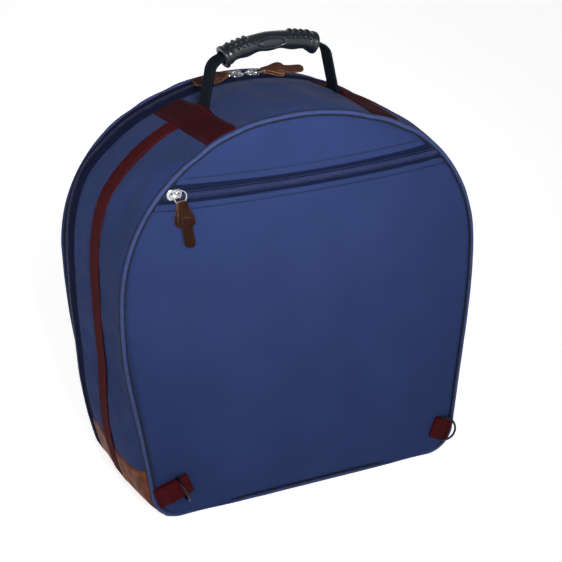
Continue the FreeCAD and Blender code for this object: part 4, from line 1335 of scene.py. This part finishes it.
def zip_hardware(slider_node, pull_node, bodies, origin, axes, pull_origin, pull_axes, lean, roll, looks):
    """Slider and pull of one zip. roll turns the pull's far end about its own length, in degrees."""
    slider = joined(slider_node + "_shell", placed_parts(slider_parts(), origin, axes))
    finish_piece(slider, bodies[0], SILVER, [slider_node])
    parts = []
    for points, faces, uv in pull_parts(lean):
        moved = np.array(points, float)
        turn = np.radians(roll) * np.clip((moved[..., 0] - 2) / 14, 0, 1)
        v, n = moved[..., 1].copy(), moved[..., 2].copy()
        moved[..., 1] = v * np.cos(turn) - n * np.sin(turn)
        moved[..., 2] = v * np.sin(turn) + n * np.cos(turn)
        parts.append((moved, faces, uv))
    pull = joined(pull_node + "_leather", placed_parts(parts, pull_origin, pull_axes))
    refine(pull)
    finish_piece(pull, bodies[1], looks, [pull_node])
    paint_edges(pull, pull_axes[2])


PULL_SWINGS = {"left": 22, "right": 4}


def main_zip_hardware(name):
    side = SIDES[name]
    pin, bar = joint_place(f"{name}_ring_turn"), joint_place(f"{name}_pull_turn")
    away = (bar - pin) / np.linalg.norm(bar - pin)
    across = ALONG_Y
    normal = np.cross(away, across) * side * -1
    normal = normal if normal[2] > 0 else -normal
    origin = pin - normal * PIN_N
    axes = (away * side, across, normal)
    swing = math.radians(PULL_SWINGS[name])
    along = away * math.cos(swing) - across * math.sin(swing)
    pull_axes = (along, np.cross(normal, along), normal)
    zip_hardware(f"zip_slider_{name}", f"zip_pull_{name}", (f"slider_{name}", f"pull_{name}"),
                 origin, axes, bar, pull_axes, lean=0.0, roll=30 * side, looks=[TOP_PULL, TOP_PULL_EDGE])


def pocket_ring():
    """Round wire ring through the pocket slider, which the pull hangs from."""
    pin = joint_place("pocket_ring_turn")
    turn = np.linspace(0, 2 * math.pi, 56, endpoint=False)
    path = np.stack([5.6 + 6.8 * np.cos(turn), 0 * turn, -2.8 + 6.8 * np.sin(turn)], 1) + pin
    piece = joined("pocket_wire_ring", [tube(path, 0.85, 10)])
    finish_piece(piece, "pocket_ring", SILVER, ["pocket_zip_ring"])


def pocket_zip_hardware():
    pin, bar = joint_place("pocket_ring_turn"), joint_place("pocket_pull_turn")
    out = OUT_OF_BACK
    along, up = np.array([1.0, 0.0, 0.0]), np.array([0.0, 0.0, 1.0])
    zip_hardware("pocket_zip_slider", "pocket_zip_pull", ("pocket_slider", "pocket_pull"),
                 pin - out * PIN_N, (along, up, out), bar + up * 0.8 + out * 1.8, (-up, along, out),
                 lean=0.22, roll=0, looks=[PULL, CUT_EDGE])


# ---------------------------------------------------------------- strap tabs

TAB_LENGTHS = {"left": 36.0, "right": 20.0}
TAB_TILT = 20.5
TAB_FOOT = (181.0, 29.0)
TAB_LAYER, TAB_GAP = 1.6, 3.2


def strap_tab(name):
    """Folded tab of webbing that holds a strap ring, sewn down near the seam."""
    side = SIDES[name]
    tilt = math.radians(TAB_TILT)
    run = np.array([-side * math.cos(tilt), 0.0, math.sin(tilt)])
    out = OUT_OF_BACK
    across = np.cross(out, run)
    foot = np.array([side * TAB_FOOT[0], -COVER_Y, TAB_FOOT[1]])
    layer, gap, length = TAB_LAYER, TAB_GAP, TAB_LENGTHS[name]
    nose = np.radians(np.linspace(-90, 90, 13))
    middle = (2 * layer + gap) / 2
    reach = (layer + gap) / 2
    low = [(u, layer / 2) for u in np.linspace(-2.5, length, 22)]
    bend = [(length + reach * math.cos(t), middle + reach * math.sin(t)) for t in nose[1:-1]]
    high = [(length, 2 * middle - layer / 2)]
    for u in np.linspace(length - 3, -2.5, 22):
        share = min(1.0, max(0.0, (u - 2) / 9))
        ease = share * share * (3 - 2 * share)
        high.append((u, layer * 1.5 + (2 * middle - layer * 2) * ease))
    flat = np.array(low + bend + high)
    step = np.gradient(flat, axis=0)
    step /= np.linalg.norm(step, axis=1, keepdims=True)
    normal = np.stack([step[:, 1], -step[:, 0]], 1)
    line = foot + flat[:, :1] * run + flat[:, 1:] * out
    ups = normal[:, :1] * run + normal[:, 1:] * out
    line = line - ups * layer / 2
    points, faces, uv = ribbon(line, np.tile(across, (len(line), 1)), ups, 12.3, layer, 0.6)
    piece = mesh_object(f"ring_tab_{name}", points, faces, uv)
    refine(piece)
    finish_piece(piece, "bag", TAB_WEB, [f"strap_tab_{name}"])
    rows = []
    for u in (5.0, 9.0):
        share = min(1.0, max(0.0, (u - 2) / 9))
        n = layer * 2 + (2 * middle - layer * 2) * share * share * (3 - 2 * share)
        line = [foot + run * u + across * v + out * (n + 0.1) for v in np.linspace(-10, 10, 12)]
        rows.append(stitches(line, np.tile(out, (12, 1)), 3.4, 2.5, 0.7))
    finish_piece(joined(f"ring_tab_stitching_{name}", rows), "bag", WINE_THREAD)


# ---------------------------------------------------------------- the rest of the CAD frame

KEPT_LOOKS = {
    "back_seam_binding": BINDING, "lid_seam_binding": BINDING, "pocket_back_wall": LINING,
    "base_board": BOARD, "hinge_strip": LEATHER, "main_zip_stops": SILVER,
    "zip_ring_left": SILVER, "zip_ring_right": SILVER,
    "d_ring_left": GUNMETAL, "d_ring_right": GUNMETAL,
}


def dress_kept_nodes():
    """Materials for the CAD nodes that show as they are."""
    for node, look in KEPT_LOOKS.items():
        mesh = frame["nodes"][node].data
        mesh.materials.clear()
        mesh.materials.append(look)


# ---------------------------------------------------------------- camera, lights and floor

VIEW_ANGLES = (-24.973, 22.32, -1.036)
VIEW_CENTRE = (0, 0, 0.210)
VIEW_DISTANCE = 1.890
VIEW_SHIFT = (0.01442, 0.00310)


def add_camera():
    """Camera behind the bag and to its left, from VIEW_ANGLES of azimuth, elevation and roll."""
    azimuth, elevation, roll = (math.radians(a) for a in VIEW_ANGLES)
    back = np.array([math.sin(azimuth) * math.cos(elevation),
                     -math.cos(azimuth) * math.cos(elevation), math.sin(elevation)])
    right = np.cross(-back, [0, 0, 1])
    right /= np.linalg.norm(right)
    up = np.cross(right, -back)
    tilted_right = right * math.cos(roll) + up * math.sin(roll)
    tilted_up = up * math.cos(roll) - right * math.sin(roll)
    place = np.array(VIEW_CENTRE) + back * VIEW_DISTANCE
    place = place + tilted_right * VIEW_SHIFT[0] + tilted_up * VIEW_SHIFT[1]
    camera = bpy.data.objects.new("camera", bpy.data.cameras.new("camera"))
    scene.collection.objects.link(camera)
    camera.data.sensor_width = 36
    camera.data.lens = 106.76
    camera.data.clip_start = 0.05
    camera.data.clip_end = 60
    axes = np.stack([tilted_right, tilted_up, back], 1)
    matrix = np.eye(4)
    matrix[:3, :3] = axes
    matrix[:3, 3] = place
    camera.matrix_world = Matrix(matrix.tolist())
    scene.camera = camera


def area_light(name, place, target, size, power, spread=180):
    data = bpy.data.lights.new(name, "AREA")
    data.shape = "SQUARE"
    data.size = size
    data.energy = power
    data.spread = math.radians(spread)
    light = bpy.data.objects.new(name, data)
    light.location = place
    aim = Vector(target) - Vector(place)
    light.rotation_euler = aim.to_track_quat("-Z", "Y").to_euler()
    scene.collection.objects.link(light)


def add_studio():
    """Pale floor, white horizon that is darker overhead, and three soft lights."""
    scene.view_settings.view_transform = "Standard"
    world = bpy.data.worlds.new("studio")
    world.use_nodes = True
    nodes, links = world.node_tree.nodes, world.node_tree.links
    background = nodes["Background"]
    background.inputs["Color"].default_value = (1, 1, 1, 1)
    direction = nodes.new("ShaderNodeTexCoord")
    parts = nodes.new("ShaderNodeSeparateXYZ")
    level = nodes.new("ShaderNodeMapRange")
    for socket, value in (("From Min", 0.2), ("From Max", 0.45), ("To Min", 1.0), ("To Max", 0.12)):
        level.inputs[socket].default_value = value
    links.new(direction.outputs["Generated"], parts.inputs[0])
    links.new(parts.outputs["Z"], level.inputs["Value"])
    links.new(level.outputs["Result"], background.inputs["Strength"])
    scene.world = world
    area_light("key", (-0.35, -1.5, 1.1), (-0.05, -0.1, 0.47), 0.4, 1.95, spread=33)
    area_light("left_fill", (-2.2, -0.9, 1.2), (0, 0, 0.25), 1.6, 13)
    area_light("top_fill", (0.4, 0.5, 2.2), (0, 0, 0.3), 1.6, 1)
    floor = mesh_object("floor", [[-9000, -9000, 0], [9000, -9000, 0], [9000, 9000, 0], [-9000, 9000, 0]],
                        [[0, 1, 2, 3]], smooth=False)
    paint = Look("floor_paint", (225, 225, 225), 0.9)
    paint.two_tone(paint.spread(paint.speckle(400, 2), 0.0, 1.0), 0.995, 1.0)
    paint.shader.inputs["Emission Color"].default_value = (1, 1, 1, 1)
    paint.shader.inputs["Emission Strength"].default_value = 0.76
    floor.data.materials.append(paint.material)


# ---------------------------------------------------------------- the whole bag

def build():
    back_front_panel()
    back_top_panel()
    pocket_stitching()
    pocket_tapes()
    pocket_coil()
    # painted seam shadow: dark cords beside the back piping
    piping_seam_shadows()
    piping_loop("back_piping_cord", -HALF_DEPTH + PIPING_R, "bag", "back_piping", -1, PIPING)
    piping_loop("lid_piping_cord", HALF_DEPTH - PIPING_R, "lid", "lid_piping", 1, LID_PIPING)
    gusset_fabric()
    gusset_hem()
    leather_base()
    side_straps()
    main_tapes()
    main_coils()
    lid_face()
    lid_foot()
    lining_band("body_lining", "bag", -HALF_DEPTH + 11, ZIP_Y - 0.5, -HALF_RIM, HALF_RIM,
                ["gusset_lining"], True)
    end = s_at_height(ZIP_FOOT_Z)
    lining_band("lid_rim_lining_cloth", "lid", ZIP_Y + 0.5, HALF_DEPTH - 11, -end, end,
                ["lid_rim_lining"], False)
    lining_panel("back_lining", "bag", -HALF_DEPTH + 11.2, 1, ["back_panel_lining"])
    lining_panel("lid_lining_cloth", "lid", HALF_DEPTH - 11.2, -1, ["lid_lining"])
    handle_webbing()
    handle_grip()
    for name in SIDES:
        handle_patch(name)
        main_zip_hardware(name)
        strap_tab(name)
    pocket_zip_hardware()
    pocket_ring()
    dress_kept_nodes()


build()
add_camera()
add_studio()
